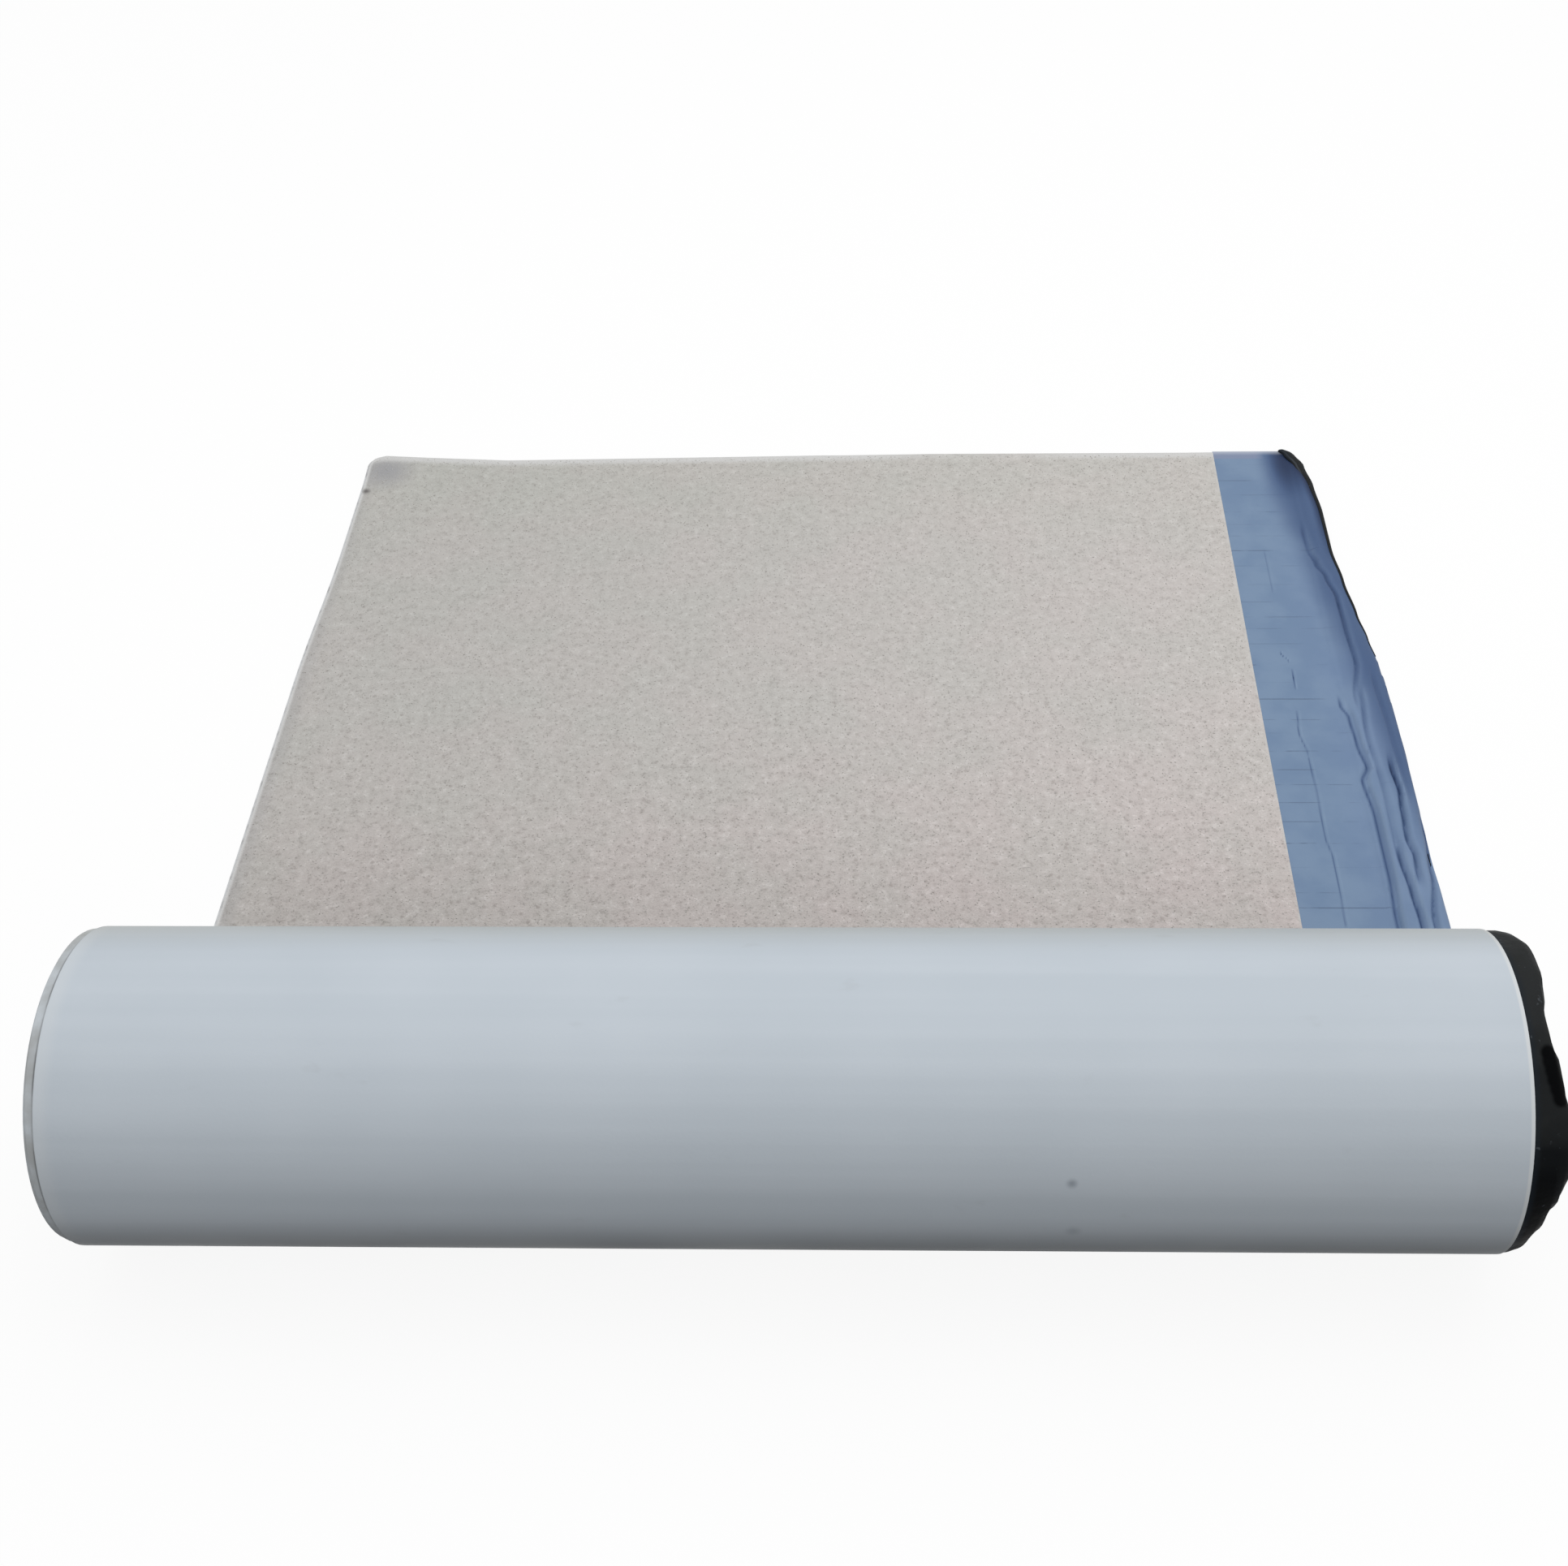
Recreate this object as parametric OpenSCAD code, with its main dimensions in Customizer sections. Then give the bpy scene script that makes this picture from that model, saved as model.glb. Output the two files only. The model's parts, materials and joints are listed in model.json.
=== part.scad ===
// Part-unrolled roll of self-adhesive waterproofing membrane, lying on a floor.
// X runs along the roll, the tail lies flat towards +Y, and the floor is at Z = 0.
// The origin is on the floor, under the roll's axis and at the middle of the sheet's width.

/* [Sheet] */
// Width of the membrane sheet, along the roll
sheet_w = 1000; // [500:10:2000]
// Thickness of the smooth polyethylene carrier, which faces outwards on the roll
carrier_t = 1.2; // [0.7:0.1:2]
// Thickness of the sand-faced adhesive on the carrier's other face
facing_t = 0.6; // [0.3:0.1:1.2]

/* [Roll] */
// Diameter of the bore through the winding
bore_d = 90; // [60:1:160]
// Whole turns of sheet that show on the ends
turns = 37; // [6:1:50]
// How far the facing lies back from the carrier's cut edges
edge_recess = 2; // [0.5:0.1:5]
// How far the inner turns wander to the left of the outer turn
wander = 6; // [0:0.5:12]

/* [Tail] */
// Length of sheet that lies unrolled behind the roll
tail_l = 910; // [500:10:2500]
// Radius of the tail's far left corner
corner_r = 30; // [5:1:80]

/* [Lap film] */
// Width of the sand-free lap strip that the film covers
lap_w = 78; // [40:1:150]
// Room between the film and the turn that lies on it
film_gap = 0.1; // [0.05:0.05:0.2]
// How far the film reaches past the carrier's edge
film_overhang = 48; // [30:1:100]
// Overhang that is left at the tail's far end, which is also the radius of the film's far corner
film_overhang_far = 28; // [5:1:29]
// Distance from the tail's far end to where the film starts to narrow
film_taper_start = 370; // [220:10:480]
// Distance from the tail's far end to where the film has its far overhang
film_taper_end = 170; // [100:5:200]

/* [Hidden] */
$fn = 96;
// Room past a face for a cut that goes through it
cut = 1;
sheet_t = carrier_t + facing_t;
film_t = facing_t - film_gap;
// Thicknesses of sheet between the bore and the innermost turn that shows
start_laps = 1.5;
roll_r = bore_d / 2 + (start_laps + turns) * sheet_t;
sheet_edge = sheet_w / 2;
facing_edge = sheet_edge - lap_w;
film_edge = sheet_edge + film_overhang;
film_edge_far = sheet_edge + film_overhang_far;
FRONT = 0;
BACK = 1;
LEFT = -1;
RIGHT = 1;
// Turns in one slow sideways wander of the winding, and the share of it that is steady
wander_period = 7.2;
wander_steady = 0.6;

// The winding is a spiral of half-turns. Those in front turn about the roll's axis, and those
// behind turn about a line half a sheet higher, so each one meets the next and the outermost
// runs out level with the floor.
function turn_r(k, half) = roll_r - half * sheet_t / 2 - k * sheet_t;

// Sideways drift of turn k, which is nothing on the outer turn that carries the tail
function drift(k) = k == 0 ? 0
    : wander * (wander_steady + (1 - wander_steady) * cos(360 * k / wander_period));

// Where turn k's carrier ends along the roll, and where its facing ends, back from the shorter of
// the two carriers that hold it
function carrier_end(k, side) = side * sheet_edge - drift(k);
function facing_end(k, side) =
    side * (min(side * carrier_end(k, side), side * carrier_end(k + 1, side)) - edge_recess);

// One end of a half-winding as radius and place along the roll, from inside the bore outwards
function end_points(half, side) = [
    for (k = [turns : -1 : 0])
        let (x = carrier_end(k, side), groove = facing_end(k, side))
        let (outer = turn_r(k, half), inner = turn_r(k + 1, half))
        each k == turns ? [[bore_d / 2 - sheet_t, x], [outer, x]]
            : [[inner, groove], [inner + facing_t, groove], [inner + facing_t, x], [outer, x]]
];

function reversed(list) = [for (i = [len(list) - 1 : -1 : 0]) list[i]];

// Half a turn about the roll's axis of a section drawn as radius and place along the roll
module half_turned(half) {
    translate([0, 0, roll_r + half * sheet_t / 2])
        rotate([0, 90, 0])
            rotate([0, 0, half == FRONT ? 180 : 0])
                rotate_extrude(angle = 180)
                    children();
}

// What is cut from a square corner at the origin, with its outside towards +X and +Y, to round it
module corner_cut(r) {
    difference() {
        translate([-r, -r])
            square(r + cut);
        translate([-r, -r])
            circle(r);
    }
}

module winding(half) {
    half_turned(half)
        polygon(concat(end_points(half, LEFT), reversed(end_points(half, RIGHT))));
}

// The unrolled sheet, with its full thickness up to the lap and the bare carrier beyond it
module tail() {
    difference() {
        union() {
            translate([-sheet_edge, 0, 0])
                cube([sheet_w, tail_l, carrier_t]);
            translate([edge_recess - sheet_edge, 0, 0])
                cube([sheet_w - lap_w - edge_recess, tail_l, sheet_t]);
        }
        translate([-sheet_edge, tail_l, -cut])
            mirror([1, 0, 0])
                linear_extrude(sheet_t + 2 * cut)
                    corner_cut(corner_r);
    }
}

module membrane() {
    color("gainsboro")
        difference() {
            union() {
                winding(FRONT);
                winding(BACK);
                tail();
            }
            translate([0, 0, roll_r])
                rotate([0, 90, 0])
                    cylinder(d = bore_d, h = sheet_w + 2 * (wander + cut), center = true);
        }
}

// The film's edge beyond the carrier, wound with the sheet and bonded to each turn's inner face
module film_winding(half) {
    half_turned(half)
        for (k = [0 : turns - 1])
            let (start = facing_end(k, RIGHT), end = carrier_end(k, RIGHT) + film_overhang)
                translate([turn_r(k, half) - carrier_t - film_t, start])
                    square([film_t, end - start]);
}

// The film on the tail's lap, narrower at the far end and with a round far corner
module film_tail() {
    translate([0, 0, carrier_t])
        linear_extrude(film_t)
            difference() {
                polygon([
                    [facing_edge, 0],
                    [film_edge, 0],
                    [film_edge, tail_l - film_taper_start],
                    [film_edge_far, tail_l - film_taper_end],
                    [film_edge_far, tail_l],
                    [facing_edge, tail_l]
                ]);
                translate([film_edge_far, tail_l])
                    corner_cut(film_overhang_far);
            }
}

module lap_film() {
    color("steelblue")
        union() {
            film_winding(FRONT);
            film_winding(BACK);
            film_tail();
        }
}

membrane();
lap_film();
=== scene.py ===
"""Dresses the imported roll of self-adhesive waterproofing membrane and sets it in a plain studio.

The sheet is modelled as it is made: a smooth carrier and a sand facing that are wound together in one
spiral and run out as a flat tail, with a film along the right edge that covers the sand-free lap and
hangs past the carrier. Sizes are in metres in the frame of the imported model, where X runs along the
roll, the tail lies towards +Y and the floor is at Z = 0.
"""

import json
import logging
import math
from dataclasses import dataclass, field
from enum import Enum, IntEnum
from typing import Any, Callable, Sequence

import bmesh
import bpy
from mathutils import Matrix, Vector

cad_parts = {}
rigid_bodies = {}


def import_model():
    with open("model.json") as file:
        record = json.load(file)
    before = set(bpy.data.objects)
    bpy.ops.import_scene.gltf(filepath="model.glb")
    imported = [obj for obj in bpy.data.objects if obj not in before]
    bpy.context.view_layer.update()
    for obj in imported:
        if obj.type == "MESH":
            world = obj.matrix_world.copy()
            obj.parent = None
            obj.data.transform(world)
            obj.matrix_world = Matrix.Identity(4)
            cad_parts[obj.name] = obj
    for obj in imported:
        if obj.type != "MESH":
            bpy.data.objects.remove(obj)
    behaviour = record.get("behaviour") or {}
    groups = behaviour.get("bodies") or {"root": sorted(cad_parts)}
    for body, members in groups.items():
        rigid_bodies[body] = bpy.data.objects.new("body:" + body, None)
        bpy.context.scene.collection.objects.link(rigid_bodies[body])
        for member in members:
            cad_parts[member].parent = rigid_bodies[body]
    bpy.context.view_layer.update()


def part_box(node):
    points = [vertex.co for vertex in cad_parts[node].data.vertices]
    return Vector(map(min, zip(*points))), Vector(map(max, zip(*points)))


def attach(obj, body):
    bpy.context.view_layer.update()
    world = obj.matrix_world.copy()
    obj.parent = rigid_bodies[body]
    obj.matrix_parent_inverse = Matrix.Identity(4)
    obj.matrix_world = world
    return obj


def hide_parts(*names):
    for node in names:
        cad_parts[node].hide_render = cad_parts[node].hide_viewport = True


Socket = bpy.types.NodeSocket
Point = tuple[float, float]
Place = tuple[float, float, float]
Colour = tuple[float, float, float]
Stops = tuple[tuple[float, Colour], ...]

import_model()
BODY = "root"
MM = 0.001
# How near a point has to be to the line where roll and tail meet to count as on it
ON_LINE = 1e-6
LOG = logging.getLogger("membrane_roll")


class Node(str, Enum):
    """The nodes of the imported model, which are also its material slots."""

    MEMBRANE = "membrane"
    LAP_FILM = "lap_film"


class Side(IntEnum):
    """The material slots of a sheet that has been given its thickness."""

    OUTER = 0
    INNER = 1
    EDGE = 2


def smooth(low: float, high: float, value: float) -> float:
    """Eases a value from 0 to 1 between two limits, of which the second may be the lower one."""
    share = min(1.0, max(0.0, (value - low) / (high - low)))
    return share * share * (3.0 - 2.0 * share)


@dataclass(frozen=True)
class Profile:
    """A value that changes smoothly along a line, given at a few places.

    Attributes:
        points: Place and value pairs, in rising order of place.
    """

    points: tuple[Point, ...]

    def at(self, place: float) -> float:
        """Reads the profile.

        Args:
            place: Where to read it.

        Returns:
            The value there, eased between the two nearest points.
        """
        if place <= self.points[0][0]:
            return self.points[0][1]
        for (start, low), (end, high) in zip(self.points, self.points[1:]):
            if place <= end:
                return low + (high - low) * smooth(start, end, place)
        return self.points[-1][1]


def mm_profile(*points: Point) -> Profile:
    """Makes a profile from places and values in millimetres."""
    return Profile(tuple((place * MM, value * MM) for place, value in points))


class Modeller:
    """Short forms of the modelling steps that every piece goes through."""

    @staticmethod
    def clear_selection() -> None:
        """Leaves edit mode and deselects every object."""
        if bpy.context.object and bpy.context.object.mode != "OBJECT":
            bpy.ops.object.mode_set(mode="OBJECT")
        bpy.ops.object.select_all(action="DESELECT")

    @staticmethod
    def grid(name: str, low: Point, high: Point, height: float, columns: int, rows: int) -> bpy.types.Object:
        """Adds a flat grid of quads.

        Args:
            name: Name of the new piece.
            low: X and Y of its near left corner.
            high: X and Y of its far right corner.
            height: Z of the grid.
            columns: Quads along X.
            rows: Quads along Y.

        Returns:
            The new object, at the origin with its place in its mesh.
        """
        Modeller.clear_selection()
        centre = ((low[0] + high[0]) / 2, (low[1] + high[1]) / 2, height)
        bpy.ops.mesh.primitive_grid_add(x_subdivisions=columns, y_subdivisions=rows, size=1, location=centre)
        piece = bpy.context.object
        piece.name = piece.data.name = name
        piece.scale = (high[0] - low[0], high[1] - low[1], 1)
        bpy.ops.object.transform_apply(location=True, rotation=True, scale=True)
        return piece

    @staticmethod
    def attribute(piece: bpy.types.Object, name: str) -> bpy.types.FloatAttribute:
        """Adds a number to each vertex of a piece, for its finish to read."""
        return piece.data.attributes.new(name, "FLOAT", "POINT")

    @staticmethod
    def select_vertices(piece: bpy.types.Object, wanted: Callable[[Vector], bool]) -> None:
        """Selects the vertices of a piece in edit mode by their place, with the edges between them.

        Args:
            piece: The piece in edit mode.
            wanted: Says whether a vertex at this place is selected.
        """
        bpy.ops.mesh.select_all(action="DESELECT")
        mesh = bmesh.from_edit_mesh(piece.data)
        for vertex in mesh.verts:
            vertex.select_set(wanted(vertex.co))
        mesh.select_flush(True)
        bmesh.update_edit_mesh(piece.data)

    @staticmethod
    def cut_lines(piece: bpy.types.Object, axis: int, places: Sequence[float]) -> None:
        """Cuts extra edge lines into a flat piece.

        Args:
            piece: The active piece, in edit mode.
            axis: 0 for lines at an X, 1 for lines at a Y.
            places: Where the lines go.
        """
        normal = [0.0, 0.0, 0.0]
        normal[axis] = 1.0
        for place in places:
            point = [0.0, 0.0, 0.0]
            point[axis] = place
            bpy.ops.mesh.select_all(action="SELECT")
            bpy.ops.mesh.bisect(plane_co=point, plane_no=normal)

    @staticmethod
    def face_outwards(piece: bpy.types.Object, probe: Callable[[Vector], bool], outward: Vector) -> None:
        """Makes the faces of an open sheet agree, and turns them all if they point the wrong way.

        Args:
            piece: The active piece, in object mode.
            probe: Picks the faces by whose normal the sheet is judged, from their centre.
            outward: The way that those faces should point.
        """
        bpy.ops.object.mode_set(mode="EDIT")
        bpy.ops.mesh.select_all(action="SELECT")
        bpy.ops.mesh.remove_doubles(threshold=0.005 * MM)
        bpy.ops.mesh.normals_make_consistent(inside=False)
        bpy.ops.object.mode_set(mode="OBJECT")
        leaning = sum(face.normal.dot(outward) for face in piece.data.polygons if probe(face.center))
        if leaning < 0:
            bpy.ops.object.mode_set(mode="EDIT")
            bpy.ops.mesh.select_all(action="SELECT")
            bpy.ops.mesh.flip_normals()
            bpy.ops.object.mode_set(mode="OBJECT")

    @staticmethod
    def thicken(piece: bpy.types.Object, thickness: float) -> None:
        """Gives a sheet its thickness behind its faces, with a slot each for back and cut edge.

        Args:
            piece: The active piece, in object mode.
            thickness: How thick the sheet is.
        """
        modifier = piece.modifiers.new("thickness", "SOLIDIFY")
        modifier.thickness = thickness
        modifier.offset = -1.0
        modifier.material_offset = int(Side.INNER)
        modifier.material_offset_rim = int(Side.EDGE)
        bpy.ops.object.modifier_apply(modifier=modifier.name)

    @staticmethod
    def dress(piece: bpy.types.Object, finishes: Sequence[bpy.types.Material]) -> None:
        """Gives a piece its materials.

        Args:
            piece: The piece.
            finishes: Its materials, in the order of its slots.
        """
        piece.data.materials.clear()
        for finish in finishes:
            piece.data.materials.append(finish)

    @staticmethod
    def seat(piece: bpy.types.Object, node: Node) -> None:
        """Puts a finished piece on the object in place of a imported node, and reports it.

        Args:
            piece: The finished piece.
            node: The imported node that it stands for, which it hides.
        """
        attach(piece, BODY)
        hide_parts(node.value)
        low = [min(corner[i] for corner in piece.bound_box) for i in range(3)]
        high = [max(corner[i] for corner in piece.bound_box) for i in range(3)]
        triangles = sum(len(face.vertices) - 2 for face in piece.data.polygons)
        LOG.info("%s: %d triangles, from %s to %s", piece.name, triangles,
                 [round(value, 4) for value in low], [round(value, 4) for value in high])


class Shader:
    """A procedural material that is built up around one principled shader.

    Attributes:
        material: The material itself.
        bsdf: Its principled shader.
        place: Object coordinates, which every pattern is drawn on.
    """

    def __init__(self, name: str) -> None:
        """Starts an empty material.

        Args:
            name: The finish's name.
        """
        self.material = bpy.data.materials.new(name)
        self.material.use_nodes = True
        self.tree = self.material.node_tree
        self.bsdf = self.tree.nodes["Principled BSDF"]
        self.place: Socket = self.add("ShaderNodeTexCoord").outputs["Object"]

    def add(self, kind: str, settings: dict[str, Any] | None = None,
            inputs: dict[Any, Any] | None = None) -> Any:
        """Adds a node.

        Args:
            kind: The node's type.
            settings: Values of its own options.
            inputs: Values or sockets for its inputs, by name or number.

        Returns:
            The new node.
        """
        node = self.tree.nodes.new(kind)
        for key, value in (settings or {}).items():
            setattr(node, key, value)
        for key, value in (inputs or {}).items():
            self.feed(node.inputs[key], value)
        return node

    def feed(self, socket: Socket, value: Any) -> None:
        """Links a socket to another, or sets it to a number, vector or colour.

        Args:
            socket: The input.
            value: What goes into it.
        """
        if isinstance(value, bpy.types.NodeSocket):
            self.tree.links.new(value, socket)
        elif isinstance(value, tuple) and socket.type == "RGBA":
            socket.default_value = (*value, 1.0)
        else:
            socket.default_value = value

    def stretched(self, scale: Place) -> Socket:
        """Returns the Object coordinates scaled along each axis."""
        return self.add("ShaderNodeMapping", inputs={"Vector": self.place, "Scale": scale}).outputs["Vector"]

    def attribute(self, name: str) -> Socket:
        """Returns a number that the vertices carry."""
        return self.add("ShaderNodeAttribute", {"attribute_name": name}).outputs["Fac"]

    def noise(self, scale: float, detail: float = 3.0, vector: Socket | None = None) -> Socket:
        """Adds a noise around one half, by its waves to the metre and its number of finer layers."""
        inputs = {"Vector": vector or self.place, "Scale": scale, "Detail": detail}
        return self.add("ShaderNodeTexNoise", inputs=inputs).outputs["Fac"]

    def cells(self, scale: float) -> tuple[Socket, Socket]:
        """Adds a pattern of grains.

        Args:
            scale: Grains to the metre.

        Returns:
            The distance from each grain's middle, and a share that differs from grain to grain.
        """
        node = self.add("ShaderNodeTexVoronoi", inputs={"Vector": self.place, "Scale": scale})
        parts = self.add("ShaderNodeSeparateColor", inputs={"Color": node.outputs["Color"]})
        return node.outputs["Distance"], parts.outputs["Red"]

    def axis(self, letter: str) -> Socket:
        """Returns one of the Object coordinates."""
        return self.add("ShaderNodeSeparateXYZ", inputs={"Vector": self.place}).outputs[letter]

    def remap(self, value: Socket, low: float, high: float, to_low: float = 0.0,
              to_high: float = 1.0) -> Socket:
        """Eases a value from to_low, at low, to to_high, at high, and holds it there."""
        inputs = {"Value": value, "From Min": low, "From Max": high, "To Min": to_low, "To Max": to_high}
        return self.add("ShaderNodeMapRange", {"interpolation_type": "SMOOTHSTEP"}, inputs).outputs["Result"]

    def math(self, operation: str, first: Any, second: Any = 0.0) -> Socket:
        """Combines two values by a named operation."""
        return self.add("ShaderNodeMath", {"operation": operation}, {0: first, 1: second}).outputs[0]

    def times(self, first: Any, second: Any) -> Socket:
        """Multiplies two values."""
        return self.math("MULTIPLY", first, second)

    def blend(self, share: float, first: Socket, second: Socket) -> Socket:
        """Adds up a share of one value and the rest of another."""
        return self.math("ADD", self.times(first, share), self.times(second, 1.0 - share))

    def near(self, point: Place, radius: float) -> Socket:
        """Marks a round spot that falls from 1 in its middle to 0 at its radius."""
        node = self.add("ShaderNodeVectorMath", {"operation": "DISTANCE"}, {0: self.place, 1: point})
        return self.remap(node.outputs["Value"], radius, 0.0)

    def mix(self, share: Any, first: Any, second: Any, blend: str = "MIX") -> Socket:
        """Mixes two colours, by the share of the second one."""
        settings = {"data_type": "RGBA", "blend_type": blend}
        return self.add("ShaderNodeMix", settings, {0: share, 6: first, 7: second}).outputs[2]

    def ramp(self, value: Socket, stops: Stops) -> Socket:
        """Turns a value into a colour.

        Args:
            value: The value.
            stops: Places from 0 to 1 with their colours.

        Returns:
            The colour.
        """
        node = self.add("ShaderNodeValToRGB", inputs={"Fac": value})
        elements = node.color_ramp.elements
        while len(elements) < len(stops):
            elements.new(0.5)
        for element, (place, colour) in zip(elements, stops):
            element.position = place
            element.color = (*colour, 1.0)
        return node.outputs["Color"]

    def line(self, value: Socket, middle: float, half_width: float) -> Socket:
        """Marks a line where a value has its middle: 1 on the line, and 0 from its half-width on."""
        off = self.math("ABSOLUTE", self.math("SUBTRACT", value, middle))
        return self.remap(off, half_width, 0.0)

    def bump(self, height: Socket, distance: float, under: Socket | None = None) -> Socket:
        """Adds a bump.

        Args:
            height: Height as a share.
            distance: What a height of 1 measures.
            under: A bump that this one lies on.

        Returns:
            The bumped normal.
        """
        inputs: dict[Any, Any] = {"Height": height, "Distance": distance, "Strength": 1.0}
        if under is not None:
            inputs["Normal"] = under
        return self.add("ShaderNodeBump", inputs=inputs).outputs["Normal"]

    def finish(self, colour: Any, roughness: Any, normal: Socket | None = None,
               specular: float = 0.5) -> bpy.types.Material:
        """Feeds the shader.

        Args:
            colour: Base colour.
            roughness: Roughness.
            normal: Bumped normal.
            specular: Specular level.

        Returns:
            The finished material.
        """
        self.feed(self.bsdf.inputs["Base Color"], colour)
        self.feed(self.bsdf.inputs["Roughness"], roughness)
        self.bsdf.inputs["Specular IOR Level"].default_value = specular
        if normal is not None:
            self.feed(self.bsdf.inputs["Normal"], normal)
        return self.material


@dataclass(frozen=True)
class Stock:
    """Sizes of the sheet that all its layers share.

    Attributes:
        half_width: Half the carrier's width.
        tail: Length of the tail.
        roll_radius: Radius of the winding.
        film_reach: How far the film hangs past the carrier.
        carrier: Thickness of the carrier.
        facing: Thickness of the sand facing.
        film: Thickness of the lap film.
        lap: Width of the sand-free lap.
        recess: How far the facing lies back from the carrier's left edge.
        corner: Radius of the tail's far left corner.
        drawn_in: How much narrower the wound sheet is than the tail, on its left.
        narrowing: How far the tail's left edge runs in at the far end.
        far_edge: How far the worn far edge lies back from a straight cut, along X.
    """

    half_width: float
    tail: float
    roll_radius: float
    film_reach: float
    carrier: float = 1.2 * MM
    facing: float = 0.6 * MM
    film: float = 0.3 * MM
    lap: float = 78 * MM
    recess: float = 2 * MM
    corner: float = 15 * MM
    drawn_in: float = 7.5 * MM
    narrowing: float = 5 * MM
    far_edge: Profile = mm_profile(
        (-500, 8), (-472, 3), (-445, 5), (-420, 7), (-350, 11), (-280, 8.5), (-130, 8), (-60, 7), (0, 3.5),
        (100, 2.5), (280, 3), (360, 4.5), (422, 2), (500, 0))

    @classmethod
    def from_frame(cls) -> "Stock":
        """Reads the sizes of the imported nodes.

        Returns:
            The sizes, with those that the nodes don't give at their defaults.
        """
        _, sheet_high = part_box(Node.MEMBRANE.value)
        _, film_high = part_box(Node.LAP_FILM.value)
        return cls(half_width=sheet_high.x, tail=sheet_high.y, roll_radius=sheet_high.z / 2,
                   film_reach=film_high.x - sheet_high.x)

    @property
    def pitch(self) -> float:
        """Thickness of one turn."""
        return self.carrier + self.facing

    @property
    def lap_line(self) -> float:
        """X of the line where the sand ends and the film starts."""
        return self.half_width - self.lap

    def leftness(self, place: Vector) -> float:
        """Share of the sheet's width that lies to the right of a place."""
        return (self.half_width - place.x) / (2 * self.half_width)

    def on_roll(self, x: float, degrees: float, depth: float = 0.0) -> Place:
        """Finds a place on the roll, by degrees up from its front and depth under its outer face."""
        angle, radius = math.radians(degrees), self.roll_radius - depth
        return x, -radius * math.cos(angle), self.roll_radius + radius * math.sin(angle)

    def drawn(self, place: Vector, turn: float) -> Vector:
        """Draws a point of the wound sheet in from the left edge, by its turns from the tail."""
        return place + Vector((self.drawn_in * self.leftness(place) * smooth(0.0, 0.2, turn), 0.0, 0.0))

    def lay(self, place: Vector) -> Vector:
        """Gives the flat tail its worn outline and lie.

        Args:
            place: A point of the straight-cut tail.

        Returns:
            Where it lies, with the far left corner rounded and lifted and the far edge worn hollow.
        """
        laid = place.copy()
        inner = Vector((self.corner - self.half_width, self.tail - self.corner))
        across, along = (inner.x - place.x) / self.corner, (place.y - inner.y) / self.corner
        if across > 0 and along > 0:
            laid.x = inner.x - self.corner * across * math.sqrt(1 - along * along / 2)
            laid.y = inner.y + self.corner * along * math.sqrt(max(0.0, 1 - across * across / 2))
        corner_lift, corner_reach = 3 * MM, 70 * MM
        away = math.hypot(laid.x + self.half_width, laid.y - self.tail)
        laid.z += corner_lift * smooth(corner_reach, 0.0, away) ** 2
        laid.y -= self.far_edge.at(place.x) * smooth(0.55 * self.tail, self.tail, place.y)
        laid.x += self.narrowing * self.leftness(place) * smooth(0.6 * self.tail, 0.82 * self.tail, place.y)
        return laid


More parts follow.
